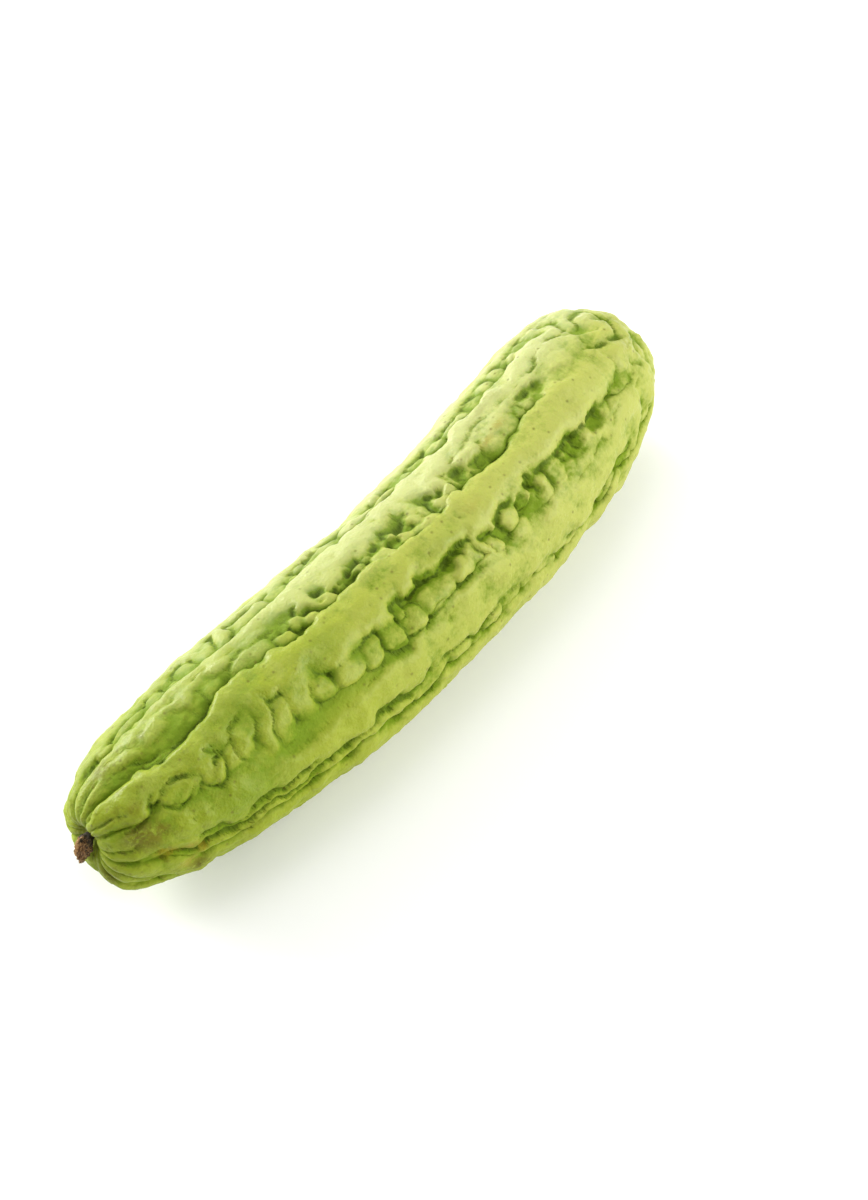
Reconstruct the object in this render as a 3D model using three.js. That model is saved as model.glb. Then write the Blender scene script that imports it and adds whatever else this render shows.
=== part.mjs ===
import * as THREE from 'three';

// A bitter gourd lying on its side, in millimetres. +X runs from the blossom end to the stem end and
// +Z is up. The origin is on the ground, under the middle of the whole part.
// Angles round the gourd are in degrees, from the top (0) over the -Y side (90) to the ground (180).
// Places along it are shares of its length, from the blossom end (0) to the stem end (1).

// The body
const length = 280; // end to end along the chord
const crestRadius = 33.6; // over the ridges, in the thick middle
const bow = 16; // how far the middle of the axis bows towards -Y
const bowLean = 0.2; // shifts the deepest part of the bow towards the stem end
const waist = 0.012; // share of the radius lost where the middle is slimmest
const waistPlace = 0.58;
const restCut = 0.6; // depth of the flat spot that the gourd lies on
const blossomEnd = { reach: 98, bluntness: 3.5, pitDepth: 4.5, pitRadius: 5.2 };
const stemEnd = { reach: 70, bluntness: 4.3, pitDepth: 8, pitRadius: 10 };
const sag = { amount: 5, top: 0.3, reach: 0.2 }; // how far the underside of the blossom end juts out
const hollowRise = { amount: 3.4, from: 4, to: 24 }; // the blossom end's hollow over its axis

// The relief
const ridgeRise = 4.2; // a ridge over the floor of its valleys
const ridgeShoulder = 4.6; // from a ridge's edge in to its full height
const wartSquareness = 2.6; // 2 makes a wart an ellipse, more makes it a cushion
const blendPower = 7; // how sharply warts and ridges meet
const reliefRadius = 20; // nearer to the axis than this, the relief fades
const firstWart = 0.055;
const lastWart = 0.93;
const pinch = { blossom: 0.09, stem: 0.88, least: 0.25 }; // where the valleys close to mere creases
const calm = { from: 0.86, to: 0.98, left: 0.4 }; // where the relief sinks towards the stem end

// The edges of each ridge round the gourd, at even steps along it. One number is an edge that
// keeps its angle, apart from a slight wave.
const ridges = [
  {
    start: [-30, -31, -31, -32, -36, -38, -36, -33, -31, -35, -36],
    end: [-12, -13, -13, -12, -11, -10, -8, -10, -6, -10, -12],
  },
  {
    start: [5, 5, 2, 5, 2, 2, 5, 6, 6, 10, 12],
    end: [28, 28, 25, 28, 30, 26, 32, 33, 38, 37, 36],
  },
  {
    start: [42, 51, 54, 52, 47, 46, 46, 50, 47, 46, 46],
    end: [68, 72, 71, 77, 75, 77, 81, 83, 78, 76, 76],
  },
  { start: [90], end: [112] },
  { start: [128], end: [151] },
  { start: [166], end: [194] },
  { start: [209], end: [232] },
  { start: [247], end: [271] },
  { start: [286], end: [312] },
];

// The floor of the valley after each ridge: the side it climbs towards (-1 its start, 1 its end), its
// height there as a share of a ridge's, at even steps along the gourd, and the two places between
// which the whole floor rises almost to the ridges at the stem end.
const floors = [
  { side: -1, heights: [0.5, 0.65, 0.72, 0.55, 0.35, 0.35, 0.5, 0.7, 0.78, 0.8, 0.8], fill: [0.68, 0.86] },
  { side: 1, heights: [0.6, 0.75, 0.75, 0.6, 0.45, 0.35, 0.35, 0.4, 0.45, 0.5, 0.6], fill: [0.82, 0.95] },
  { side: -1, heights: [0.5, 0.45, 0.4, 0.4, 0.45, 0.5], fill: [0.86, 0.97] },
  { side: 1, heights: [0.35], fill: [0.86, 0.98] },
  { side: -1, heights: [0.3], fill: [0.86, 0.98] },
  { side: 1, heights: [0.3], fill: [0.86, 0.98] },
  { side: 1, heights: [0.4], fill: [0.86, 0.98] },
  { side: -1, heights: [0.35], fill: [0.84, 0.97] },
  { side: -1, heights: [0.4], fill: [0.8, 0.95] },
];
const filledFloor = 0.92;

// The warts of the two valleys that lie uppermost: where each starts and ends along the gourd, its
// two edges round it, its rise as a share of a ridge's, and its slant.
const topWarts = [
  [0.075, 0.112, -9, 4, 0.55, 0],
  [0.12, 0.16, -4, 5, 0.4, 0],
  [0.16, 0.182, -3, 5, 0.36, 0],
  [0.196, 0.223, -12, 2, 0.62, 0],
  [0.237, 0.304, -12, 4, 0.86, 0],
  [0.304, 0.33, -12, -4, 0.7, 0],
  [0.304, 0.33, -5, 4, 0.75, 0],
  [0.33, 0.354, -12, -1, 0.8, 0.2],
  [0.346, 0.37, -5, 7, 0.8, 0.2],
  [0.368, 0.395, -14, 2, 0.85, 0.4],
  [0.402, 0.42, -10, -1, 0.6, 0.2],
  [0.418, 0.434, -10, -1, 0.62, 0.2],
  [0.398, 0.468, -2, 14, 0.95, 0],
  [0.432, 0.452, -9, 1, 0.68, 0.2],
  [0.45, 0.47, -11, -2, 0.64, 0.2],
  [0.462, 0.508, -5, 14, 0.95, 0.3],
  [0.468, 0.486, -11, -3, 0.62, 0],
  [0.484, 0.502, -11, -2, 0.68, 0],
  [0.5, 0.514, -10, 3, 0.72, 0],
  [0.512, 0.534, -5, 5, 0.8, 0.2],
  [0.53, 0.574, -5, 14, 0.92, 0.3],
  [0.535, 0.552, -10, 0, 0.72, 0],
  [0.55, 0.572, -11, -2, 0.8, 0],
  [0.572, 0.594, -9, 7, 0.8, 0.3],
  [0.592, 0.612, -10, 4, 0.72, 0.3],
  [0.614, 0.628, -8, 4, 0.5, 0.2],
  [0.628, 0.642, -8, 5, 0.48, 0.2],
  [0.642, 0.656, -8, 5, 0.46, 0.2],
  [0.656, 0.672, -8, 5, 0.48, 0.2],
  [0.678, 0.748, -12, 5, 0.88, 0],
  [0.75, 0.764, -7, 5, 0.6, 0],
  [0.762, 0.782, -7, 5, 0.72, 0],
  [0.8, 0.832, -8, 5, 0.8, 0],
  [0.832, 0.858, -10, 7, 0.76, 0],
  [0.858, 0.884, -13, 6, 0.78, 0.2],
  [0.884, 0.91, -11, 8, 0.74, 0.2],
];
const flankWarts = [
  [0.022, 0.062, 16, 36, 0.9, 0],
  [0.078, 0.126, 24, 45, 0.86, -0.3],
  [0.125, 0.15, 12, 50, 0.92, -0.5],
  [0.138, 0.162, 30, 50, 0.9, -0.3],
  [0.152, 0.184, 28, 48, 0.86, -0.3],
  [0.163, 0.19, 12, 31, 0.9, -0.5],
  [0.1755, 0.2095, 20, 46, 0.9, -0.8],
  [0.2077, 0.2343, 19, 50, 0.88, -0.75],
  [0.232, 0.2595, 26, 50, 0.84, -0.4],
  [0.261, 0.291, 25, 47.5, 0.8, 0.3],
  [0.29, 0.325, 27, 41, 0.8, 0.3],
  [0.328, 0.369, 26, 45, 0.84, 0],
  [0.366, 0.398, 29, 46, 0.84, 0],
  [0.402, 0.427, 28, 46, 0.8, 0],
  [0.43, 0.448, 26, 34, 0.62, 0],
  [0.427, 0.464, 33, 47, 0.85, 0],
  [0.463, 0.518, 31, 47, 0.86, 0],
  [0.517, 0.557, 33, 46, 0.84, 0],
  [0.55, 0.567, 29, 46, 0.8, 0.4],
  [0.566, 0.582, 22, 47, 0.86, 0.4],
  [0.582, 0.6, 33, 47, 0.7, 0.3],
  [0.615, 0.645, 25, 45, 0.78, 0.2],
  [0.652, 0.672, 28, 42, 0.7, 0],
  [0.681, 0.702, 28, 52, 0.82, 0],
  [0.704, 0.734, 34, 55, 0.86, -0.1],
  [0.741, 0.756, 38, 57, 0.76, 0],
  [0.774, 0.801, 38, 56, 0.85, 0.1],
  [0.827, 0.851, 37, 50, 0.82, 0],
  [0.867, 0.9, 33, 47, 0.8, 0],
];
const wartsReadByHand = { 0: topWarts, 1: flankWarts };

// The mesh of the body
const capRadii = [2.2, 4.6, 7.5, 11, 15, 19.5, 24]; // rings of points on each end
const cells = 34; // stretches along a valley, two rows of points each
const firstCell = 0.06;
const lastCell = 0.93;
const stepsAcross = 4; // points across each ridge and each valley
const shortestCell = 2.6;

// The pieces at the two ends
const gap = 0.3; // between touching pieces
const stub = { radius: 3, flare: 1.2, height: 7.5, ribs: 5, ribDepth: 0.07, sides: 20 };
const flower = { sides: 14, pleats: 7, pleatDepth: 0.14, tip: 0.6 };
// The dried flower's middle line and radius: out of the hollow, over its lip and down.
const flowerLine = [
  { out: 0, drop: -0.6, radius: 1.8 },
  { out: 2.2, drop: -0.8, radius: 2.3 },
  { out: 3.9, drop: 0, radius: 2.8 },
  { out: 5, drop: 2.6, radius: 2.8 },
  { out: 5.9, drop: 6, radius: 2.2 },
  { out: 6.6, drop: 9.4, radius: 1.1 },
];

const radians = (degrees) => THREE.MathUtils.degToRad(degrees);

// A repeatable stream of numbers from 0 to 1.
function numberStream(seed) {
  let state = seed * 7919 + 13;
  return () => {
    state = (state * 48271) % 2147483647;
    return state / 2147483647;
  };
}

// A smooth curve through values that stand at even steps from 0 to 1.
function smoothThrough(values, place) {
  if (values.length === 1) {
    return values[0];
  }
  const last = values.length - 1;
  const scaled = THREE.MathUtils.clamp(place, 0, 1) * last;
  const step = Math.min(Math.floor(scaled), last - 1);
  const t = scaled - step;
  const a = values[Math.max(step - 1, 0)];
  const b = values[step];
  const c = values[step + 1];
  const d = values[Math.min(step + 2, last)];
  const slopeB = (c - a) / 2;
  const slopeC = (d - b) / 2;
  const t2 = t * t;
  const t3 = t2 * t;
  return (2 * t3 - 3 * t2 + 1) * b + (t3 - 2 * t2 + t) * slopeB + (3 * t2 - 2 * t3) * c + (t3 - t2) * slopeC;
}

// An edge of a ridge in the open, with a slight wave on those that have one number.
function openEdge(values, place, phase) {
  const wave = 2 * Math.sin(7.3 * place + phase) + 1.2 * Math.sin(17.9 * place + 2.6 * phase);
  return smoothThrough(values, place) + (values.length === 1 ? wave : 0);
}

// Share of its open width that a valley has: it closes towards both ends of the gourd.
function openShare(place) {
  const blossom = THREE.MathUtils.smoothstep(place, 0, pinch.blossom);
  const stem = 1 - THREE.MathUtils.smoothstep(place, pinch.stem, 1);
  return pinch.least + (1 - pinch.least) * blossom * stem;
}

// The two edges of the valley after ridge k, whose far edge is the start of the next ridge.
function valleyEdges(k, place) {
  const next = (k + 1) % ridges.length;
  const from = openEdge(ridges[k].end, place, 1.7 * k + 0.8);
  const to = openEdge(ridges[next].start, place, 1.7 * next) + (next === 0 ? 360 : 0);
  const middle = (from + to) / 2;
  const half = ((to - from) / 2) * openShare(place);
  return [middle - half, middle + half];
}

const valleyStart = (k, place) => valleyEdges(k, place)[0];
const valleyEnd = (k, place) => valleyEdges(k, place)[1];
const ridgeEnd = (k, place) => valleyStart(k, place);

function ridgeStart(k, place) {
  return k === 0 ? valleyEnd(ridges.length - 1, place) - 360 : valleyEnd(k - 1, place);
}

// Radius over the ridges: two blunt superellipse ends on a straight middle with a faint waist.
function bodyRadius(x) {
  const fromBlossom = Math.min(x / blossomEnd.reach, 1);
  const fromStem = Math.min((length - x) / stemEnd.reach, 1);
  const blossom = (1 - (1 - fromBlossom) ** 2) ** (1 / blossomEnd.bluntness);
  const stem = (1 - (1 - fromStem) ** 2) ** (1 / stemEnd.bluntness);
  const slim = waist * Math.exp(-(((x / length - waistPlace) / 0.13) ** 2));
  return crestRadius * blossom * stem * (1 - slim);
}

// How far an end lies in from the tip plane at a radius: its dome and the pit in its middle.
function capInset(end, r) {
  const dome = end.reach * (1 - Math.sqrt(1 - (r / crestRadius) ** end.bluntness));
  return dome + end.pitDepth / (1 + (r / end.pitRadius) ** 4);
}

// The bowed axis: a point on it, and its direction.
function axisAt(x) {
  const u = (2 * x) / length - 1;
  const y = -bow * (1 - u * u) * (1 + bowLean * u);
  const slope = (-bow * (bowLean - 2 * u - 3 * bowLean * u * u) * 2) / length;
  const along = new THREE.Vector3(1, slope, 0).normalize();
  return { point: new THREE.Vector3(x - length / 2, y, 0), along };
}

// Warts for a valley that has none read by hand: one broad wart, two small ones abreast or a long
// one, again and again along the valley.
function drawnWarts(k) {
  const draw = numberStream(k + 3);
  const between = (low, high) => low + (high - low) * draw();
  const warts = [];
  let place = firstWart + 0.01 * draw();
  while (place < lastWart) {
    const start = valleyStart(k, place);
    const end = valleyEnd(k, place);
    const kind = draw();
    let reach = between(0.026, 0.038);
    const slant = between(-0.35, 0.35);
    if (kind < 0.5) {
      const grown = between(-0.5, 2.5);
      warts.push([place, place + reach, start - grown, end + between(-0.5, 2), between(0.7, 0.9), slant]);
    } else if (kind < 0.82) {
      reach = between(0.02, 0.027);
      const middle = start + (end - start) * between(0.4, 0.6);
      const offset = between(0, 0.01);
      warts.push([place, place + reach, start - 1, middle + 0.8, between(0.55, 0.8), slant]);
      warts.push([place + offset, place + offset + reach, middle - 0.8, end + 1, between(0.55, 0.8), slant]);
    } else {
      reach = between(0.045, 0.065);
      warts.push([place, place + reach, start + between(0, 2), end - between(0, 2), between(0.75, 0.9), 0]);
    }
    place += reach * between(0.94, 1.03);
  }
  return warts;
}

// Lobes that scallop the edges of a ridge: side -1 is its start, side 1 its end.
function drawnLobes(k, side) {
  const smoothHalf = k === 2 && side < 0; // the blossom half of this edge has none
  const draw = numberStream(40 + 2 * k + side);
  const between = (low, high) => low + (high - low) * draw();
  const lobes = [];
  let place = (smoothHalf ? 0.4 : 0.05) + 0.03 * draw();
  while (place < 0.94) {
    const reach = between(0.03, 0.055);
    const edge = side < 0 ? ridgeStart(k, place) : ridgeEnd(k, place);
    const out = edge + side * between(1.2, 3.6);
    const inner = edge - side * 11;
    lobes.push([place, place + reach, Math.min(out, inner), Math.max(out, inner), 0.96, 0]);
    place += reach * between(1.1, 1.7);
  }
  return lobes;
}

// Every cushion that stands on the floor of the valleys, by the valley it belongs to.
const wartsOfValley = ridges.map((ridge, k) => wartsReadByHand[k] ?? drawnWarts(k));
const lobes = ridges.flatMap((ridge, k) => [...drawnLobes(k, -1), ...drawnLobes(k, 1)]);
const cushions = [...wartsOfValley.flat(), ...lobes];

// An angle brought within half a turn of another.
const nearAngle = (angle, other) => angle + 360 * Math.round((other - angle) / 360);

// Rise of one cushion at a point: rise * sqrt(1 - |u|^n - |w|^n), with u and w the distances from
// its middle along and round the gourd as shares of its half sizes.
function cushionRise(cushion, place, angle, arc) {
  const [from, to, low, high, share, slant] = cushion;
  const halfLength = ((to - from) * length) / 2;
  const halfWidth = ((high - low) * arc) / 2;
  const middle = (low + high) / 2;
  const w = ((nearAngle(angle, middle) - middle) * arc) / halfWidth;
  const u = ((place - (from + to) / 2) * length) / halfLength - slant * w;
  const left = 1 - Math.abs(u) ** wartSquareness - Math.abs(w) ** wartSquareness;
  return left > 0 ? share * Math.sqrt(left) : 0;
}

// Rise of a ridge at a point: a quarter circle up from its edge, then level.
function ridgeShare(k, place, angle, arc) {
  const start = ridgeStart(k, place);
  const end = ridgeEnd(k, place);
  const near = nearAngle(angle, (start + end) / 2);
  const inside = Math.min(near - start, end - near) * arc;
  const climb = THREE.MathUtils.clamp(inside / ridgeShoulder, 0, 1);
  return Math.sqrt(1 - (1 - climb) ** 2);
}

// Rise of a valley's floor at a point: a straight slope from the foot of one ridge up to the other,
// and on under that one, or the height that the floor is filled to where that is more.
function floorShare(k, place, angle, arc) {
  const [start, end] = valleyEdges(k, place);
  const near = nearAngle(angle, (start + end) / 2);
  const across = (near - start) / (end - start);
  const { side, heights, fill } = floors[k];
  const climb = side < 0 ? 1 - across : across;
  const beyond = (climb - 1) * (end - start) * arc;
  const fade = 1 - THREE.MathUtils.smoothstep(beyond, 2, 8);
  const slope = THREE.MathUtils.clamp(smoothThrough(heights, place) * climb, 0, 0.96);
  const filled = climb > -0.3 ? filledFloor * THREE.MathUtils.smoothstep(place, fill[0], fill[1]) : 0;
  return Math.max(slope, filled) * fade;
}

// How far the skin lies under the crests: everything that stands up is joined by a soft maximum.
function reliefDepth(place, angle, radius) {
  const arc = radians(1) * Math.max(radius, reliefRadius);
  let sum = 0;
  for (let k = 0; k < ridges.length; k += 1) {
    sum += ridgeShare(k, place, angle, arc) ** blendPower;
    sum += floorShare(k, place, angle, arc) ** blendPower;
  }
  for (const cushion of cushions) {
    sum += cushionRise(cushion, place, angle, arc) ** blendPower;
  }
  const share = Math.min(sum ** (1 / blendPower), 1);
  const fade = Math.min(radius / reliefRadius, 1);
  const stemCalm = 1 - (1 - calm.left) * THREE.MathUtils.smoothstep(place, calm.from, calm.to);
  return ridgeRise * fade * stemCalm * (1 - share);
}

// The blossom end out of true: its underside juts out, and its hollow sits higher than its axis.
function bendBlossomEnd(point, x, radius) {
  const smoothstep = THREE.MathUtils.smoothstep;
  const near = 1 - smoothstep(x / length, 0, sag.reach);
  const under = smoothstep(sag.top - point.z / crestRadius, 0, sag.top + 1);
  const middle = x < length / 2 ? 1 - smoothstep(radius, hollowRise.from, hollowRise.to) : 0;
  point.x -= sag.amount * near * under;
  point.z += hollowRise.amount * middle;
  return point;
}

// A point of the skin: the smooth body pushed in along its normal by the relief.
function skinPoint(x, radius, normal, angle) {
  const { point, along } = axisAt(x);
  const up = new THREE.Vector3(0, 0, 1);
  const side = new THREE.Vector3().crossVectors(along, up);
  const out = up.multiplyScalar(Math.cos(radians(angle))).addScaledVector(side, Math.sin(radians(angle)));
  const depth = reliefDepth(x / length, angle, radius);
  point.addScaledVector(out, radius - depth * normal.out);
  point.addScaledVector(along, -depth * normal.along);
  return bendBlossomEnd(point, x, radius);
}

// Slope of a curve of (along, out) points at a parameter, turned a quarter to point outwards.
function outwardNormal(curve, t, step) {
  const before = curve(t - step);
  const after = curve(t + step);
  const along = after.x - before.x;
  const out = after.r - before.r;
  const size = Math.hypot(along, out);
  return { along: -out / size, out: along / size };
}

const blossomCurve = (r) => ({ x: capInset(blossomEnd, r), r });
const stemCurve = (r) => ({ x: length - capInset(stemEnd, r), r });
const bodyCurve = (x) => ({ x, r: bodyRadius(x) });

// Stretches along a valley whose ends fall in the creases between its warts.
function valleyBreaks(k) {
  const ends = wartsOfValley[k].flatMap(([from, to]) => [from, to]);
  const inner = ends.filter((place) => place > firstCell + 0.01 && place < lastCell - 0.01);
  inner.sort((a, b) => a - b);
  const breaks = [firstCell];
  for (const place of inner) {
    if ((place - breaks.at(-1)) * length > shortestCell) {
      breaks.push(place);
    }
  }
  breaks.push(lastCell);
  while (breaks.length < cells + 1) {
    const sizes = breaks.slice(1).map((place, i) => place - breaks[i]);
    const i = sizes.indexOf(Math.max(...sizes));
    breaks.splice(i + 1, 0, (breaks[i] + breaks[i + 1]) / 2);
  }
  while (breaks.length > cells + 1) {
    const sizes = breaks.slice(2).map((place, i) => place - breaks[i]);
    breaks.splice(sizes.indexOf(Math.min(...sizes)) + 1, 1);
  }
  return breaks;
}

// Rows of points along a valley: each crease, and the middle between two creases.
function valleyRows(k) {
  const breaks = valleyBreaks(k);
  const rows = breaks.slice(1).flatMap((place, i) => [breaks[i], (breaks[i] + place) / 2]);
  return [...rows, lastCell];
}

// Columns of points round the gourd: each has an angle that follows the edges beside it, and rows
// that change from one valley's creases to the next one's across a ridge.
function skinColumns() {
  const rowsOf = ridges.map((ridge, k) => valleyRows(k));
  const columns = [];
  ridges.forEach((ridge, k) => {
    const before = rowsOf[(k + ridges.length - 1) % ridges.length];
    const after = rowsOf[k];
    for (let i = 0; i < stepsAcross; i += 1) {
      const share = i / stepsAcross;
      const rows = before.map((place, row) => place + (after[row] - place) * share);
      const angleAt = (place) => {
        const start = ridgeStart(k, place);
        return start + (ridgeEnd(k, place) - start) * share;
      };
      columns.push({ rows, angleAt });
    }
    for (let i = 0; i < stepsAcross; i += 1) {
      const share = i / stepsAcross;
      const angleAt = (place) => {
        const start = valleyStart(k, place);
        return start + (valleyEnd(k, place) - start) * share;
      };
      columns.push({ rows: after, angleAt });
    }
  });
  return columns;
}

// One column of the skin, from the ring nearest to the blossom end's pole to the stem end's.
function columnPoints({ rows, angleAt }) {
  const points = [];
  for (const r of capRadii) {
    const { x } = blossomCurve(r);
    points.push(skinPoint(x, r, outwardNormal(blossomCurve, r, 0.2), angleAt(x / length)));
  }
  for (const place of rows) {
    const x = place * length;
    points.push(skinPoint(x, bodyRadius(x), outwardNormal(bodyCurve, x, 0.2), angleAt(place)));
  }
  for (const r of [...capRadii].reverse()) {
    const { x } = stemCurve(r);
    points.push(skinPoint(x, r, outwardNormal(stemCurve, r, -0.2), angleAt(x / length)));
  }
  return points;
}

// A closed skin over columns of points, with one point at each pole. The columns run from the first
// pole to the last, and follow one another anticlockwise for an eye beyond the last pole.
function closedSkin(firstPole, columns, lastPole) {
  const rows = columns[0].length;
  const points = [firstPole, ...columns.flat(), lastPole];
  const at = (column, row) => 1 + (column % columns.length) * rows + row;
  const lastIndex = points.length - 1;
  const faces = [];
  for (let c = 0; c < columns.length; c += 1) {
    faces.push(0, at(c + 1, 0), at(c, 0));
    for (let row = 0; row < rows - 1; row += 1) {
      faces.push(at(c, row), at(c + 1, row + 1), at(c, row + 1));
      faces.push(at(c, row), at(c + 1, row), at(c + 1, row + 1));
    }
    faces.push(at(c, rows - 1), at(c + 1, rows - 1), lastIndex);
  }
  const geometry = new THREE.BufferGeometry();
  geometry.setAttribute('position', new THREE.Float32BufferAttribute(points.flatMap((p) => p.toArray()), 3));
  geometry.setIndex(faces);
  geometry.computeVertexNormals();
  return geometry;
}

// The fruit, with every point under the ground plane lifted onto it as the flat spot it lies on.
function fruitGeometry() {
  const firstPole = bendBlossomEnd(axisAt(blossomEnd.pitDepth).point, blossomEnd.pitDepth, 0);
  const lastPole = axisAt(length - stemEnd.pitDepth).point;
  const columns = skinColumns().map(columnPoints);
  const ground = restCut - crestRadius;
  for (const point of columns.flat()) {
    point.z = Math.max(point.z, ground);
  }
  return closedSkin(firstPole, columns, lastPole);
}

// The cut stalk, standing up its own +Z: a flared foot, five soft ribs and a dished cut face.
function stubGeometry() {
  const rings = [
    { z: 0, r: stub.radius + 0.4 },
    { z: 0.6, r: stub.radius + stub.flare },
    { z: 2, r: stub.radius + 0.3 },
    { z: 4.5, r: stub.radius },
    { z: stub.height - 0.5, r: stub.radius + 0.1 },
    { z: stub.height, r: stub.radius - 0.4 },
    { z: stub.height - 0.5, r: stub.radius * 0.5 },
  ];
  const columns = Array.from({ length: stub.sides }, (_, i) => {
    const angle = (2 * Math.PI * i) / stub.sides;
    const rib = 1 + stub.ribDepth * Math.cos(stub.ribs * angle);
    const across = new THREE.Vector3(Math.cos(angle), Math.sin(angle), 0).multiplyScalar(rib);
    return rings.map(({ z, r }) => across.clone().multiplyScalar(r).setZ(z));
  });
  const foot = new THREE.Vector3(0, 0, 0);
  const face = new THREE.Vector3(0, 0, stub.height - 0.6);
  return closedSkin(foot, columns, face);
}

// The dried flower: a pleated tube along its drooping middle line, in the fruit's own directions.
function flowerGeometry() {
  const columns = Array.from({ length: flower.sides }, (_, i) => {
    const angle = (2 * Math.PI * i) / flower.sides;
    return flowerLine.map(({ out, drop, radius }, row) => {
      const before = flowerLine[Math.max(row - 1, 0)];
      const after = flowerLine[Math.min(row + 1, flowerLine.length - 1)];
      const turn = Math.atan2(after.drop - before.drop, after.out - before.out);
      const pleat = 1 + flower.pleatDepth * Math.cos(flower.pleats * angle) * Math.min(row / 2, 1);
      const across = radius * pleat * Math.sin(angle);
      const lift = radius * pleat * Math.cos(angle);
      return new THREE.Vector3(-out - lift * Math.sin(turn), across, -drop + lift * Math.cos(turn));
    });
  });
  const { out, drop } = flowerLine.at(-1);
  return closedSkin(new THREE.Vector3(0, 0, 0), columns, new THREE.Vector3(-out, 0, -drop - flower.tip));
}

function namedMesh(name, geometry, colour, roughness) {
  const material = new THREE.MeshStandardMaterial({ color: colour, roughness, metalness: 0 });
  const mesh = new THREE.Mesh(geometry, material);
  mesh.name = name;
  return mesh;
}

// The whole gourd, lowered onto the ground with the origin under its middle.
function bitterGourd() {
  const fruit = namedMesh('fruit', fruitGeometry(), '#9dba4f', 0.45);

  const stalkStub = namedMesh('stalk_stub', stubGeometry(), '#8fa556', 0.7);
  const stemPit = axisAt(length - stemEnd.pitDepth + gap);
  stalkStub.position.copy(stemPit.point);
  stalkStub.quaternion.setFromUnitVectors(new THREE.Vector3(0, 0, 1), stemPit.along);

  const driedFlower = namedMesh('dried_flower', flowerGeometry(), '#6b4428', 0.9);
  const blossomPit = axisAt(blossomEnd.pitDepth - gap);
  driedFlower.position.copy(bendBlossomEnd(blossomPit.point, blossomEnd.pitDepth - gap, 0));
  driedFlower.quaternion.setFromUnitVectors(new THREE.Vector3(1, 0, 0), blossomPit.along);

  const gourd = new THREE.Group();
  gourd.add(fruit, stalkStub, driedFlower);
  const box = new THREE.Box3().setFromObject(gourd);
  const middle = box.getCenter(new THREE.Vector3());
  gourd.position.set(-middle.x, -middle.y, -box.min.z);
  return gourd;
}

const part = bitterGourd();

export default part;
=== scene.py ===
import math

import bpy
import numpy as np
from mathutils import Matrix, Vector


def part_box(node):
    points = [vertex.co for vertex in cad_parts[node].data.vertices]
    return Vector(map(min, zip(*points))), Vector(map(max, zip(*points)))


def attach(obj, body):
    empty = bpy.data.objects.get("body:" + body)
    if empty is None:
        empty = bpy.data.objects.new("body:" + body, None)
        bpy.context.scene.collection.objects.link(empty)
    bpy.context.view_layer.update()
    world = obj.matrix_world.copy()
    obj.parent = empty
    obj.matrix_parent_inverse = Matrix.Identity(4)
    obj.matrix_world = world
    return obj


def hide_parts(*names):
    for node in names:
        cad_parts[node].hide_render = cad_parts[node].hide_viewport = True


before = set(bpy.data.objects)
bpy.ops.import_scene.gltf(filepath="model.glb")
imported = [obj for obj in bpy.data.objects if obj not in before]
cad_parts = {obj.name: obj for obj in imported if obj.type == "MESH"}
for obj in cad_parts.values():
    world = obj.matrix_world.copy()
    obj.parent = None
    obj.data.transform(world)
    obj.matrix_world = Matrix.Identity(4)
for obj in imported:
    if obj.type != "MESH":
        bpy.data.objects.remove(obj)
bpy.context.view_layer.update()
print("frame loaded:", sorted(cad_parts))

# Lengths in this script are millimetres until a mesh is made, and metres in Blender.
# Angles round the gourd are degrees from the top (0) over the -Y side (90) to the ground (180).
# Places along it are shares of its length, blossom end 0, stem end 1.
mm = 0.001

view = {
    "azimuth": -51.1,  # the way the camera looks, turned from +Y
    "elevation": 54.0,
    "distance": 985.0,
    "lookAt": (9.4, -12.3, 33.0),
    "fieldOfView": 23.6,  # degrees over the tall side
    "sensor": 36.0,
}


def makeCamera(view):
    # camera = look-at point minus distance * view direction, looking down by the elevation
    turn = math.radians(view["azimuth"])
    tilt = math.radians(view["elevation"])
    ahead = np.array([-math.sin(turn) * math.cos(tilt), math.cos(turn) * math.cos(tilt), -math.sin(tilt)])
    data = bpy.data.cameras.new("camera")
    data.sensor_width = view["sensor"]
    data.lens = view["sensor"] / 2 / math.tan(math.radians(view["fieldOfView"]) / 2)
    data.clip_end = 50
    camera = bpy.data.objects.new("camera", data)
    camera.location = (np.array(view["lookAt"]) - ahead * view["distance"]) * mm
    camera.rotation_euler = (math.pi / 2 - tilt, 0, turn)
    bpy.context.scene.collection.objects.link(camera)
    bpy.context.scene.camera = camera


makeCamera(view)
print("camera set")


def cornerHash(corner, seed):
    # a whole number for each lattice corner, mixed by multiplying and folding
    n = corner[..., 0] * 73856093 ^ corner[..., 1] * 19349663 ^ corner[..., 2] * 83492791 ^ seed * 668265263
    n = (n ^ (n >> 13)) * 1274126177 & 0x7FFFFFFF
    return (n ^ (n >> 16)) * 69069 + 1 & 0x7FFFFFFF


def cornerNumbers(corner, seed):
    # three repeatable numbers from 0 to 1 for each lattice corner
    n = cornerHash(corner, seed)
    return np.stack([(n & 1023), (n >> 10 & 1023), (n >> 20 & 1023)], -1) / 1023


def softNoise(points, size, seed):
    # gradient noise: each corner's random direction dotted with the way to it, blended by 6t^5-15t^4+10t^3
    scaled = points / size
    base = np.floor(scaled).astype(np.int64)
    t = scaled - base
    fade = t**3 * (t * (6 * t - 15) + 10)
    total = np.zeros(points.shape[:-1])
    for step in np.ndindex(2, 2, 2):
        corner = np.array(step)
        slope = cornerNumbers(base + corner, seed) * 2 - 1
        weight = np.where(corner, fade, 1 - fade).prod(-1)
        total += weight * ((t - corner) * slope).sum(-1)
    return total


def layeredNoise(points, size, seed, layers):
    # soft noise plus the same at half the size and half the strength, again and again
    return sum(softNoise(points, size / 2**i, seed + i) / 2**i for i in range(layers))


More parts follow.
